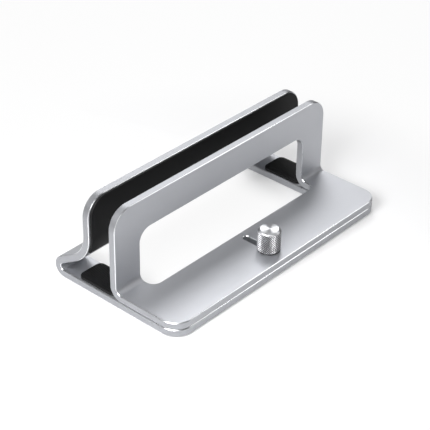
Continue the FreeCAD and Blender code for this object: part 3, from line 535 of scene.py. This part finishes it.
def sheet_blank(name, plane, outline, windows, holes, upper, lower, lines):
    """A flat plate: chamfered outline and windows, plain holes, and blind cuts with their depths."""
    sizes = bpy.context.scene.stand_plates
    half, chamfer = sizes.sheet / 2, sizes.chamfer
    top, bottom = plane + half, plane - half
    mesh = bmesh.new()
    for kind in ("bright_edge", "cut_edge"):
        mesh.faces.layers.float.new(kind)
    tops, bottoms = [], []
    for shape, inward in [(outline, 1)] + [(window, -1) for window in windows]:
        levels = (
            (chamfer * inward, top), (0.0, top - chamfer),
            (0.0, bottom + chamfer), (chamfer * inward, bottom),
        )
        first, last = add_wall(mesh, shape, levels, ("bright_edge", "cut_edge", "bright_edge"))
        tops.append(first)
        bottoms.append(last)
    for hole in holes:
        first, last = add_wall(mesh, hole, ((0.0, top), (0.0, bottom)))
        tops.append(first)
        bottoms.append(last)
    for shape, depth in upper:
        tops.append(add_recess(mesh, shape, top, top - depth))
    for shape, depth in lower:
        bottoms.append(add_recess(mesh, shape, bottom, bottom + depth))
    add_cap(mesh, *tops)
    add_cap(mesh, *bottoms)
    return finish_blank(name, mesh, lines)


def rim_levels(foot, top, rim, steps=4):
    """Levels of a pad's side: upright, then a quarter round into its free face."""
    levels = [(0.0, foot)]
    for step in range(steps + 1):
        turn = math.pi / 2 * step / steps
        levels.append((rim * (1 - math.cos(turn)), top - rim * (1 - math.sin(turn))))
    return levels


def pad_blank(name, outline, foot, top, rim, lines=(), place=UP):
    """A pad with round corners and a rounded rim on its free side."""
    mesh = bmesh.new()
    under, over = add_wall(mesh, outline, rim_levels(foot, top, rim))
    add_cap(mesh, under)
    add_cap(mesh, over)
    return finish_blank(name, mesh, lines, place)


def bend_lines(start, run, turn, degrees=4.0):
    """Where a sheet is cut across so that its bend comes out round."""
    count = max(1, round(abs(math.degrees(turn)) / degrees))
    return [start + run * number / count for number in range(count + 1)]


# Where the flat rear sheet and front sheet bend

class RearSheet:
    """The rear plate rolled out flat, from the base's front edge to the wall's top."""

    def __init__(self):
        sizes = bpy.context.scene.stand_plates
        half = sizes.sheet / 2
        self.plane = REAR_LOW.z + half
        self.fold_radius = sizes.hairpin + half
        self.fold_turn = math.pi - sizes.flange_rise
        self.wall_radius = sizes.rear_bend + half
        self.wall_turn = sizes.flange_rise - math.pi / 2
        self.fold_start = REAR_HIGH.y - sizes.hairpin - sizes.sheet
        fold_z = self.plane + self.fold_radius
        wall_middle = REAR_HIGH.y - sizes.rear_wall_inset + half
        reach = self.fold_radius + self.wall_radius
        rise, slope = math.sin(sizes.flange_rise), math.cos(sizes.flange_rise)
        bend_y = wall_middle + self.wall_radius
        flange = (self.fold_start + reach * rise - bend_y) / slope
        bend_z = fold_z + reach * slope + flange * rise
        self.fold_run = self.fold_radius * self.fold_turn
        self.wall_run = self.wall_radius * abs(self.wall_turn)
        self.wall_bend_start = self.fold_start + self.fold_run + flange
        self.wall_start = self.wall_bend_start + self.wall_run
        self.end = self.wall_start + REAR_HIGH.z - bend_z
        self.wall_start_height = bend_z

    def lines(self):
        return (
            bend_lines(self.fold_start, self.fold_run, self.fold_turn)
            + bend_lines(self.wall_bend_start, self.wall_run, self.wall_turn, 2.5)
        )

    def bend(self, obj, tree, material):
        """The far bend comes first, then the fold takes what follows it along."""
        add_tree(
            obj, tree, material, Bend_start=self.wall_bend_start, Turn=self.wall_turn,
            Middle_radius=self.wall_radius, Middle_plane=self.plane,
        )
        add_tree(
            obj, tree, material, Bend_start=self.fold_start, Turn=self.fold_turn,
            Middle_radius=self.fold_radius, Middle_plane=self.plane,
        )
        return shade(plain_mesh(obj), 25)


class FrontSheet:
    """The front plate rolled out flat, from the foot's front edge to the wall's top."""

    def __init__(self):
        sizes = bpy.context.scene.stand_plates
        half = sizes.sheet / 2
        self.plane = FOOT_LOW.z + half
        self.radius = sizes.front_bend + half
        self.turn = math.pi / 2
        self.start = FOOT_HIGH.y - sizes.sheet - sizes.front_bend
        self.run = self.radius * self.turn
        self.wall_start_height = self.plane + self.radius
        self.end = self.at_height(FOOT_HIGH.z)

    def at_height(self, height):
        """The place on the flat sheet that ends at a height on the wall."""
        return self.start + self.run + height - self.wall_start_height

    def bend(self, obj, tree, material):
        add_tree(
            obj, tree, material, Bend_start=self.start, Turn=self.turn,
            Middle_radius=self.radius, Middle_plane=self.plane,
        )
        return shade(plain_mesh(obj), 25)


# Finishes

def new_material(name):
    """An empty material with a Principled shader, its board and the shader."""
    material = bpy.data.materials.new(FINISH + name)
    material.use_nodes = True
    material.node_tree.nodes.clear()
    board = NodeBoard(material.node_tree)
    shader = board.add("ShaderNodeBsdfPrincipled")
    board.add("ShaderNodeOutputMaterial", {"Surface": shader.outputs[0]})
    return material, board, shader


def object_place(board):
    """The object's own coordinates."""
    return board.add("ShaderNodeTexCoord").outputs["Object"]


def grain(board, size):
    """Noise whose spots are about one size across."""
    return board.add(
        "ShaderNodeTexNoise", {"Vector": object_place(board), "Scale": 1 / size, "Detail": 2.0},
    ).outputs[0]


def between(board, factor, low, high):
    """Turns 0 to 1 into a range."""
    node = board.add("ShaderNodeMapRange", {"Value": factor, "To Min": low, "To Max": high})
    return node.outputs[0]


def smooth(board, value, low, high):
    """Runs smoothly from 0 at one value to 1 at another."""
    return board.add("ShaderNodeMapRange", {
        "Value": value, "From Min": low, "From Max": high,
    }, interpolation_type="SMOOTHSTEP").outputs[0]


def bump(board, height, distance, strength):
    """A normal from heights in metres."""
    return board.add("ShaderNodeBump", {
        "Height": height, "Distance": distance, "Strength": strength,
    }).outputs[0]


def blend(board, share, first, second):
    """Mixes two colours."""
    mix = board.add("ShaderNodeMix", {0: share, 6: first, 7: second}, data_type="RGBA")
    return mix.outputs[2]


def satin_aluminium():
    """Bead-blasted, anodised sheet: bright, smooth chamfers, and slightly glossier cut edges that are painted
    darker as painted shade.
    """
    material, board, shader = new_material("satin_aluminium")
    finishes = bpy.context.scene.stand_finishes
    bright = board.add("ShaderNodeAttribute", attribute_name="bright_edge").outputs["Fac"]
    cut = board.add("ShaderNodeAttribute", attribute_name="cut_edge").outputs["Fac"]
    cloud = grain(board, 14 * MM)
    blasted = between(board, cloud, 0.50, 0.56)
    rough = board.math("SUBTRACT", blasted, board.math("MULTIPLY", cut, 0.04))
    rough = board.math("SUBTRACT", rough, board.math("MULTIPLY", bright, 0.25))
    board.feed(shader.inputs["Roughness"], rough)
    # Painted shade: the cut edges are painted darker than the faces, to tone down how brightly they catch the
    # light.
    shaded_edge = [CUT_EDGE_PAINTED_SHADE * part for part in finishes.satin]
    edged = blend(board, cut, (*finishes.satin, 1.0), (*shaded_edge, 1.0))
    board.feed(shader.inputs["Base Color"], blend(board, bright, edged, (*finishes.chamfer, 1.0)))
    shader.inputs["Metallic"].default_value = 1.0
    fine = board.math("MULTIPLY", grain(board, 0.22 * MM), board.math("SUBTRACT", 1.0, bright))
    board.feed(shader.inputs["Normal"], bump(board, fine, 0.012 * MM, 0.6))
    return material


def knurl_painted_light(board, sizes):
    """Painted highlight on the crests and painted shade in the valleys, by the distance from the knob's axis.
    """
    radius = (KNOB_HIGH.x - KNOB_LOW.x) / 2
    spot = board.add("ShaderNodeMapping", {
        "Vector": object_place(board), "Location": (-KNOB_X, -KNOB_Y, 0.0),
        "Scale": (1.0, 1.0, 0.0),
    }).outputs[0]
    reach = board.add("ShaderNodeVectorMath", {0: spot}, operation="LENGTH").outputs["Value"]
    # Painted light by the distance from the axis: a painted highlight on the crests, painted shade down in the
    # valleys.
    height = smooth(board, reach, radius - 0.85 * sizes.knurl_depth, radius - 0.1 * sizes.knurl_depth)
    finishes = bpy.context.scene.stand_finishes
    return blend(board, height, (*finishes.valley, 1.0), (*finishes.crest, 1.0))


def turned_aluminium(knurled):
    """Turned knob: fine rings on its top, and on its knurl a painted highlight on the crests and painted shade
    in the valleys.
    """
    material, board, shader = new_material("knurled_aluminium" if knurled else "turned_aluminium")
    shader.inputs["Base Color"].default_value = (*bpy.context.scene.stand_finishes.turned, 1.0)
    shader.inputs["Metallic"].default_value = 1.0
    if knurled:
        board.feed(shader.inputs["Roughness"], between(board, grain(board, 0.8 * MM), 0.34, 0.42))
        board.feed(shader.inputs["Base Color"], knurl_painted_light(board, bpy.context.scene.stand_knob))
        return material
    board.feed(shader.inputs["Roughness"], between(board, grain(board, 0.6 * MM), 0.27, 0.30))
    shader.inputs["Anisotropic"].default_value = 0.92
    tangent = board.add("ShaderNodeTangent", direction_type="RADIAL", axis="Z")
    board.feed(shader.inputs["Tangent"], tangent.outputs[0])
    place = board.add("ShaderNodeMapping", {
        "Vector": object_place(board), "Location": (-KNOB_X, -KNOB_Y, 0.0),
    }).outputs[0]
    rings = board.add("ShaderNodeTexWave", {
        "Vector": place, "Scale": 1 / (3.2 * MM), "Distortion": 0.4, "Detail": 2.0,
    }, wave_type="RINGS", rings_direction="Z")
    board.feed(shader.inputs["Normal"], bump(board, rings.outputs["Fac"], 0.003 * MM, 0.3))
    return material


def black_silicone():
    """Matt silicone with a fine moulded grain."""
    material, board, shader = new_material("black_silicone")
    shader.inputs["Base Color"].default_value = (*bpy.context.scene.stand_finishes.silicone, 1.0)
    board.feed(shader.inputs["Roughness"], between(board, grain(board, 9 * MM), 0.50, 0.60))
    shader.inputs["Specular IOR Level"].default_value = 0.22
    board.feed(shader.inputs["Normal"], bump(board, grain(board, 0.35 * MM), 0.02 * MM, 0.5))
    return material


def black_nylon():
    """Moulded nylon washer."""
    material, board, shader = new_material("black_nylon")
    shader.inputs["Base Color"].default_value = (*bpy.context.scene.stand_finishes.nylon, 1.0)
    board.feed(shader.inputs["Roughness"], between(board, grain(board, 2 * MM), 0.38, 0.46))
    return material


def ground_steel():
    """Ground steel of the stud and the pins."""
    material, board, shader = new_material("steel")
    shader.inputs["Base Color"].default_value = (*bpy.context.scene.stand_finishes.steel, 1.0)
    shader.inputs["Metallic"].default_value = 1.0
    board.feed(shader.inputs["Roughness"], between(board, grain(board, 1 * MM), 0.26, 0.36))
    return material


def material_named(name):
    """The finish of that name, made when it is first asked for.

    The CAD nodes bring plain materials of the same names, so the finishes have names of their own.
    """
    makers = {
        "satin_aluminium": satin_aluminium,
        "turned_aluminium": lambda: turned_aluminium(False),
        "knurled_aluminium": lambda: turned_aluminium(True),
        "black_silicone": black_silicone,
        "black_nylon": black_nylon,
        "steel": ground_steel,
    }
    return bpy.data.materials.get(FINISH + name) or makers[name]()


def settle(obj, body, slot, *nodes):
    """Says what a finished piece rides on and hides the nodes it stands for. The slot argument is not used."""
    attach(obj, body)
    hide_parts(*nodes)


def repaint(node, name):
    """Gives a CAD node a better material."""
    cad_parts[node].data.materials.clear()
    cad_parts[node].data.materials.append(material_named(name))


def tree_named(name, maker):
    """A node tree, made when it is first asked for."""
    return bpy.data.node_groups.get(name) or maker()


# Operators, one for each piece or group of like pieces

class STAND_OT_rear_plate(Operator):
    """Build the base, hairpin fold, flange and rear wall from one flat sheet"""

    bl_idname = "stand.rear_plate"
    bl_label = "Rear plate"

    def execute(self, context):
        sizes = context.scene.stand_plates
        sheet = RearSheet()
        left, right, front = REAR_LOW.x, REAR_HIGH.x, REAR_LOW.y
        outline = rounded_box(
            left, right, front, sheet.end, (sizes.front_corner,) * 2 + (sizes.wall_corner,) * 2, 14,
        )
        window = rounded_box(
            left + sizes.arm, right - sizes.arm,
            front + sizes.foot - sizes.bar_setback, sheet.wall_bend_start - sizes.rear_margin,
            (sizes.base_front_round,) * 2 + (sizes.base_rear_round,) * 2,
        )
        half_groove = sizes.groove_width / 2
        grooves = []
        for pin in GUIDE_PINS:
            low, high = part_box(pin)
            x, y = (low.x + high.x) / 2, (low.y + high.y) / 2
            shape = rounded_box(
                x - half_groove, x + half_groove, y - sizes.travel - half_groove, y + half_groove,
                (half_groove,) * 4, 8,
            )
            grooves.append((shape, sizes.groove_depth))
        recesses = []
        for pad in GRIP_PADS:
            low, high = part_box(pad)
            play = sizes.recess_play
            shape = rounded_box(
                low.x - play, high.x + play, low.y - play, high.y + play,
                (context.scene.stand_pads.grip_round,) * 4, 6,
            )
            recesses.append((shape, sizes.recess_depth))
        blank = sheet_blank(
            "rear_plate_sheet", sheet.plane, outline, [window],
            [round_hole(KNOB_X, KNOB_Y, sizes.thread_hole)], grooves, recesses, sheet.lines(),
        )
        plate = sheet.bend(
            blank, tree_named("press_bend", press_bend_tree), material_named("satin_aluminium"),
        )
        settle(plate, "base", "satin_aluminium", "rear_plate")
        return {"FINISHED"}


class STAND_OT_front_plate(Operator):
    """Build the sliding foot and the front wall from one flat sheet"""

    bl_idname = "stand.front_plate"
    bl_label = "Front plate"

    def execute(self, context):
        sizes = context.scene.stand_plates
        sheet = FrontSheet()
        left, right, front = FOOT_LOW.x, FOOT_HIGH.x, FOOT_LOW.y
        outline = rounded_box(
            left, right, front, sheet.end, (sizes.front_corner,) * 2 + (sizes.wall_corner,) * 2, 14,
        )
        window = rounded_box(
            left + sizes.leg, right - sizes.leg, front + sizes.foot,
            sheet.at_height(FOOT_HIGH.z - sizes.upper_bar),
            (sizes.foot_round,) * 2 + (sizes.wall_round,) * 2, 12,
        )
        half_slot = sizes.slot_width / 2
        slot = rounded_box(
            KNOB_X - half_slot, KNOB_X + half_slot,
            KNOB_Y - half_slot, KNOB_Y + sizes.travel + half_slot, (half_slot,) * 4, 10,
        )
        sockets = []
        for pin in GUIDE_PINS:
            low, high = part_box(pin)
            radius = (high.x - low.x) / 2
            sockets.append((round_hole(low.x + radius, low.y + radius, radius), sizes.socket_depth))
        blank = sheet_blank(
            "front_plate_sheet", sheet.plane, outline, [window, slot], [], [], sockets,
            bend_lines(sheet.start, sheet.run, sheet.turn, 3.0),
        )
        plate = sheet.bend(
            blank, tree_named("press_bend", press_bend_tree), material_named("satin_aluminium"),
        )
        settle(plate, "slider", "satin_aluminium", "front_plate")
        return {"FINISHED"}


class STAND_OT_rear_wall_pad(Operator):
    """Build the long pad of the rear wall and bend it with the sheet that carries it"""

    bl_idname = "stand.rear_wall_pad"
    bl_label = "Rear wall pad"

    def execute(self, context):
        pads = context.scene.stand_pads
        sheet = RearSheet()
        foot = sheet.plane + context.scene.stand_plates.sheet / 2
        thick = REAR_HIGH.y - context.scene.stand_plates.rear_wall_inset - REAR_PAD_LOW.y
        outline = rounded_box(
            REAR_PAD_LOW.x, REAR_PAD_HIGH.x,
            sheet.wall_start - sheet.wall_radius * pads.rear_wrap,
            sheet.wall_start + REAR_PAD_HIGH.z - sheet.wall_start_height,
            (pads.rear_foot_round,) * 2 + (pads.rear_top_round,) * 2, 14,
        )
        blank = pad_blank(
            "rear_wall_pad_moulded", outline, foot, foot + thick, pads.rear_rim, sheet.lines(),
        )
        pad = sheet.bend(
            blank, tree_named("press_bend", press_bend_tree), material_named("black_silicone"),
        )
        settle(pad, "base", "black_silicone", "rear_wall_pad")
        return {"FINISHED"}


class STAND_OT_flat_pads(Operator):
    """Build the seat pads, the front wall's pad and the grip pads"""

    bl_idname = "stand.flat_pads"
    bl_label = "Flat pads"

    def flat_pad(self, node, body, radius, rim, place):
        """A pad in its node's box; place turns its free side to where the node's is."""
        back = place.inverted()
        corners = [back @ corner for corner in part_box(node)]
        low = Vector(min(c[axis] for c in corners) for axis in range(3))
        high = Vector(max(c[axis] for c in corners) for axis in range(3))
        outline = rounded_box(low.x, high.x, low.y, high.y, (radius,) * 4, 8)
        pad = pad_blank(f"{node}_moulded", outline, low.z, high.z, rim, place=place)
        if node in SEAT_PADS:
            self.ribs(pad, low, high, bpy.context.scene.stand_pads)
        else:
            pad.data.materials.append(material_named("black_silicone"))
        settle(shade(pad, 25), body, "black_silicone", node)

    def ribs(self, pad, low, high, sizes):
        """Grooves the top of a seat pad, inside a smooth border."""
        room = high.y - low.y - 2 * sizes.rib_margin
        grooves = int(room / sizes.rib_pitch) + 1
        first = (low.y + high.y) / 2 - (grooves - 1) * sizes.rib_pitch / 2
        solid = len(pad.data.polygons)
        add_tree(
            pad, ribbed_top_tree(), material_named("black_silicone"),
            Grooves=grooves, Pitch=sizes.rib_pitch, Depth=sizes.rib_depth,
            Length=high.x - low.x - 2 * sizes.rib_margin, Start=((low.x + high.x) / 2, first, high.z),
        )
        plain_mesh(pad)
        if len(pad.data.polygons) < solid + 2 * grooves:
            raise RuntimeError("the ribs of the seat pad weren't cut")

    def execute(self, context):
        pads = context.scene.stand_pads
        for node in SEAT_PADS:
            self.flat_pad(node, "base", pads.seat_round, pads.seat_rim, UP)
        for node in GRIP_PADS:
            self.flat_pad(node, "base", pads.grip_round - context.scene.stand_plates.recess_play,
                          pads.grip_rim, DOWN)
        self.flat_pad("front_wall_pad", "slider", pads.front_round, pads.front_rim, BACKWARD)
        return {"FINISHED"}


class STAND_OT_knob(Operator):
    """Turn the knob's blank and knurl it"""

    bl_idname = "stand.knob"
    bl_label = "Knob"

    def blank(self, sizes, radius, bore, segments=96):
        """The turned blank with its blind bore and chamfers."""
        low, high = KNOB_LOW.z, KNOB_HIGH.z
        ease = sizes.top_ease
        profile = (
            (bore, low + sizes.bore_depth), (bore, low), (radius - sizes.foot_chamfer, low),
            (radius, low + sizes.foot_chamfer), (radius, high - sizes.top_chamfer),
            (radius - sizes.top_chamfer + ease, high - ease),
            (radius - sizes.top_chamfer - ease, high),
        )
        mesh = bmesh.new()
        rings = []
        for reach, height in profile:
            ring = []
            for number in range(segments):
                turn = math.tau * number / segments
                spot = (KNOB_X + reach * math.cos(turn), KNOB_Y + reach * math.sin(turn), height)
                ring.append(mesh.verts.new(spot))
            rings.append(ring)
        for here, there in zip(rings, rings[1:]):
            for spot in range(segments):
                after = (spot + 1) % segments
                mesh.faces.new((here[spot], here[after], there[after], there[spot]))
        mesh.faces.new(rings[0])
        mesh.faces.new(rings[-1])
        return finish_blank("knob_knurled", mesh)

    def execute(self, context):
        sizes = context.scene.stand_knob
        radius = (KNOB_HIGH.x - KNOB_LOW.x) / 2
        bore = (STUD_HIGH.x - STUD_LOW.x) / 2
        knob = self.blank(sizes, radius, bore)
        add_tree(
            knob, diamond_knurl_tree(), material_named("knurled_aluminium"),
            Diamonds_round=sizes.knurl_count, Diamond_rows=sizes.knurl_rows,
            Crest_radius=radius + sizes.crest_flat, Valley_radius=radius - sizes.knurl_depth,
            Height=KNOB_HIGH.z - KNOB_LOW.z, Axis=(KNOB_X, KNOB_Y, KNOB_LOW.z),
        )
        plain_mesh(knob)
        valley = radius - sizes.knurl_depth / 2
        middle = (KNOB_LOW.z + sizes.top_chamfer, KNOB_HIGH.z - 2 * sizes.top_chamfer)
        cut = [
            v for v in knob.data.vertices
            if middle[0] < v.co.z < middle[1]
            and 2 * bore < math.hypot(v.co.x - KNOB_X, v.co.y - KNOB_Y) < valley
        ]
        if len(cut) < sizes.knurl_count * (sizes.knurl_rows - 2):
            raise RuntimeError(f"the knurl wasn't cut: {len(cut)} points lie in its valleys")
        knob.data.materials.append(material_named("turned_aluminium"))
        for face in knob.data.polygons:
            face.material_index = 1 if abs(face.normal.z) > 0.6 else 0
        settle(shade(knob, 20), "knob", "turned_aluminium", "knob")
        return {"FINISHED"}


class STAND_OT_stud(Operator):
    """Cut the thread of the clamp stud"""

    bl_idname = "stand.stud"
    bl_label = "Stud"

    def execute(self, context):
        sizes = context.scene.stand_knob
        stud = bpy.data.objects.new("knob_stud_threaded", bpy.data.meshes.new("knob_stud_threaded"))
        context.scene.collection.objects.link(stud)
        add_tree(
            stud, screw_thread_tree(), material_named("steel"),
            Radius=(STUD_HIGH.x - STUD_LOW.x) / 2, Pitch=sizes.thread_pitch, Depth=sizes.thread_depth,
            Height=STUD_HIGH.z - STUD_LOW.z, Nose=sizes.stud_nose,
            Axis=(KNOB_X, KNOB_Y, STUD_LOW.z), Columns=THREAD_COLUMNS, Rows_per_turn=THREAD_ROWS,
        )
        plain_mesh(stud)
        if not stud.data.polygons:
            raise RuntimeError("the thread wasn't made")
        mesh = bmesh.new()
        mesh.from_mesh(stud.data)
        bmesh.ops.recalc_face_normals(mesh, faces=mesh.faces)
        mesh.to_mesh(stud.data)
        mesh.free()
        settle(shade(stud, 40), "knob", "steel", "knob_stud")
        return {"FINISHED"}


class STAND_OT_small_parts(Operator):
    """Give the washer and the guide pins their finishes"""

    bl_idname = "stand.small_parts"
    bl_label = "Washer and pins"

    def execute(self, context):
        repaint("knob_washer", "black_nylon")
        for pin in GUIDE_PINS:
            repaint(pin, "steel")
        return {"FINISHED"}


class STAND_OT_stage(Operator):
    """Set the floor, the lamps and the camera"""

    bl_idname = "stand.stage"
    bl_label = "Stage"

    def floor(self, context):
        """A wide pale floor that looks white; in front it keeps the stand's shadow, while beneath and behind
        the stand it glows white, a painted light that lifts the stand's shade there.
        """
        size = 4.0
        mesh = bpy.data.meshes.new("floor")
        corners = ((-size, -size, 0), (size, -size, 0), (size, size, 0), (-size, size, 0))
        mesh.from_pydata(corners, (), ((0, 1, 2, 3),))
        floor = bpy.data.objects.new("floor", mesh)
        context.scene.collection.objects.link(floor)
        material, board, shader = new_material("pale_floor")
        shader.inputs["Base Color"].default_value = (*context.scene.stand_finishes.floor, 1.0)
        shader.inputs["Roughness"].default_value = 0.9
        shader.inputs["Specular IOR Level"].default_value = 0.0
        rays = board.add("ShaderNodeLightPath").outputs
        seen = board.math("MAXIMUM", rays["Is Camera Ray"], rays["Is Transmission Ray"])
        seen = board.math("MAXIMUM", seen, rays["Is Glossy Ray"])
        white = board.add("ShaderNodeEmission", {"Color": (1.0, 1.0, 1.0, 1.0), "Strength": 1.0})
        settings = context.scene.stand_stage
        place = object_place(board)
        across, along = board.add("ShaderNodeSeparateXYZ", {0: place}).outputs[:2]
        reach = board.add("ShaderNodeVectorMath", {0: place}, operation="LENGTH").outputs["Value"]
        # Painted light: beneath and between the arms the seen floor glows white and lifts the stand's shade;
        # far off it turns evenly white.
        behind = smooth(board, along, *PAINTED_GLOW_BEHIND)
        between_arms = smooth(board, board.math("ABSOLUTE", across), *PAINTED_GLOW_ACROSS)
        far = smooth(board, reach, *WHITE_FAR)
        inside = board.math("MAXIMUM", board.math("MULTIPLY", behind, between_arms), far)
        white_here = between(board, inside, settings.white_front, settings.painted_glow_beneath)
        share = board.math("MULTIPLY", seen, white_here)
        mixed = board.add("ShaderNodeMixShader", {0: share, 1: shader.outputs[0], 2: white.outputs[0]})
        output = next(node for node in material.node_tree.nodes if node.type == "OUTPUT_MATERIAL")
        board.feed(output.inputs["Surface"], mixed.outputs[0])
        mesh.materials.append(material)
        return floor

    def lamp(self, context, name, place, aim, size, power):
        """A square softbox that points at a place."""
        light = bpy.data.lights.new(name, "AREA")
        light.shape = "SQUARE"
        light.size = size
        light.energy = power
        lamp = bpy.data.objects.new(name, light)
        context.scene.collection.objects.link(lamp)
        way = Vector(aim) - Vector(place)
        lamp.matrix_world = Matrix.Translation(place) @ way.to_track_quat("-Z", "Y").to_matrix().to_4x4()
        return lamp

    def camera(self, context, settings):
        """The photograph's viewpoint, worked out from its edges."""
        ahead = Vector(CAMERA_AHEAD).normalized()
        across = Vector((math.cos(settings.azimuth), -math.sin(settings.azimuth), 0.0))
        up = across.cross(ahead)
        cosine, sine = math.cos(settings.roll), math.sin(settings.roll)
        right, top = across * cosine + up * sine, up * cosine - across * sine
        data = bpy.data.cameras.new("camera")
        data.lens = settings.lens
        data.clip_start = 0.01
        camera = bpy.data.objects.new("camera", data)
        context.scene.collection.objects.link(camera)
        turned = Matrix((right, top, -ahead)).transposed().to_4x4()
        camera.matrix_world = Matrix.Translation(Vector(CAMERA_PLACE) * MM) @ turned
        context.scene.camera = camera
        return camera

    def execute(self, context):
        settings = context.scene.stand_stage
        floor = self.floor(context)
        key, back, top, left, near, edges = (
            self.lamp(context, f"{name}_softbox", place, aim, size, getattr(settings, f"{name}_power"))
            for name, place, aim, size in LAMPS
        )
        camera = self.camera(context, settings)
        world = bpy.data.worlds.new("even_light")
        world.use_nodes = True
        world.node_tree.nodes.clear()
        board = NodeBoard(world.node_tree)
        way = board.add("ShaderNodeTexCoord").outputs["Generated"]
        facing = board.add(
            "ShaderNodeVectorMath", {0: way, 1: (0.0, 0.0, 1.0)}, operation="DOT_PRODUCT",
        ).outputs["Value"]
        strength = board.add("ShaderNodeMapRange", {
            "Value": facing, "From Min": 0.0, "From Max": 1.0,
            "To Min": settings.sky_low, "To Max": settings.sky_top,
        }).outputs[0]
        sky = board.add("ShaderNodeBackground", {"Color": (1.0, 1.0, 1.0, 1.0), "Strength": strength})
        board.add("ShaderNodeOutputWorld", {"Surface": sky.outputs[0]})
        context.scene.world = world
        context.scene.view_settings.view_transform = "Standard"
        return {"FINISHED"}


OPERATORS = (
    STAND_OT_rear_plate,
    STAND_OT_front_plate,
    STAND_OT_rear_wall_pad,
    STAND_OT_flat_pads,
    STAND_OT_knob,
    STAND_OT_stud,
    STAND_OT_small_parts,
    STAND_OT_stage,
)


class STAND_PT_build(Panel):
    """Lists the stand's pieces in the sidebar"""

    bl_idname = "STAND_PT_build"
    bl_label = "Laptop stand"
    bl_space_type = "VIEW_3D"
    bl_region_type = "UI"
    bl_category = "Stand"

    def draw(self, context):
        for operator in OPERATORS:
            self.layout.operator(operator.bl_idname)


def register():
    for name, group in PROPERTY_GROUPS:
        register_class(group)
        setattr(bpy.types.Scene, name, PointerProperty(type=group))
    for operator in OPERATORS:
        register_class(operator)
    register_class(STAND_PT_build)


def unregister():
    unregister_class(STAND_PT_build)
    for operator in reversed(OPERATORS):
        unregister_class(operator)
    for name, group in reversed(PROPERTY_GROUPS):
        delattr(bpy.types.Scene, name)
        unregister_class(group)


def main():
    """Builds the stand."""
    register()
    for operator in OPERATORS:
        space, name = operator.bl_idname.split(".")
        getattr(getattr(bpy.ops, space), name)()


if __name__ == "__main__":
    main()
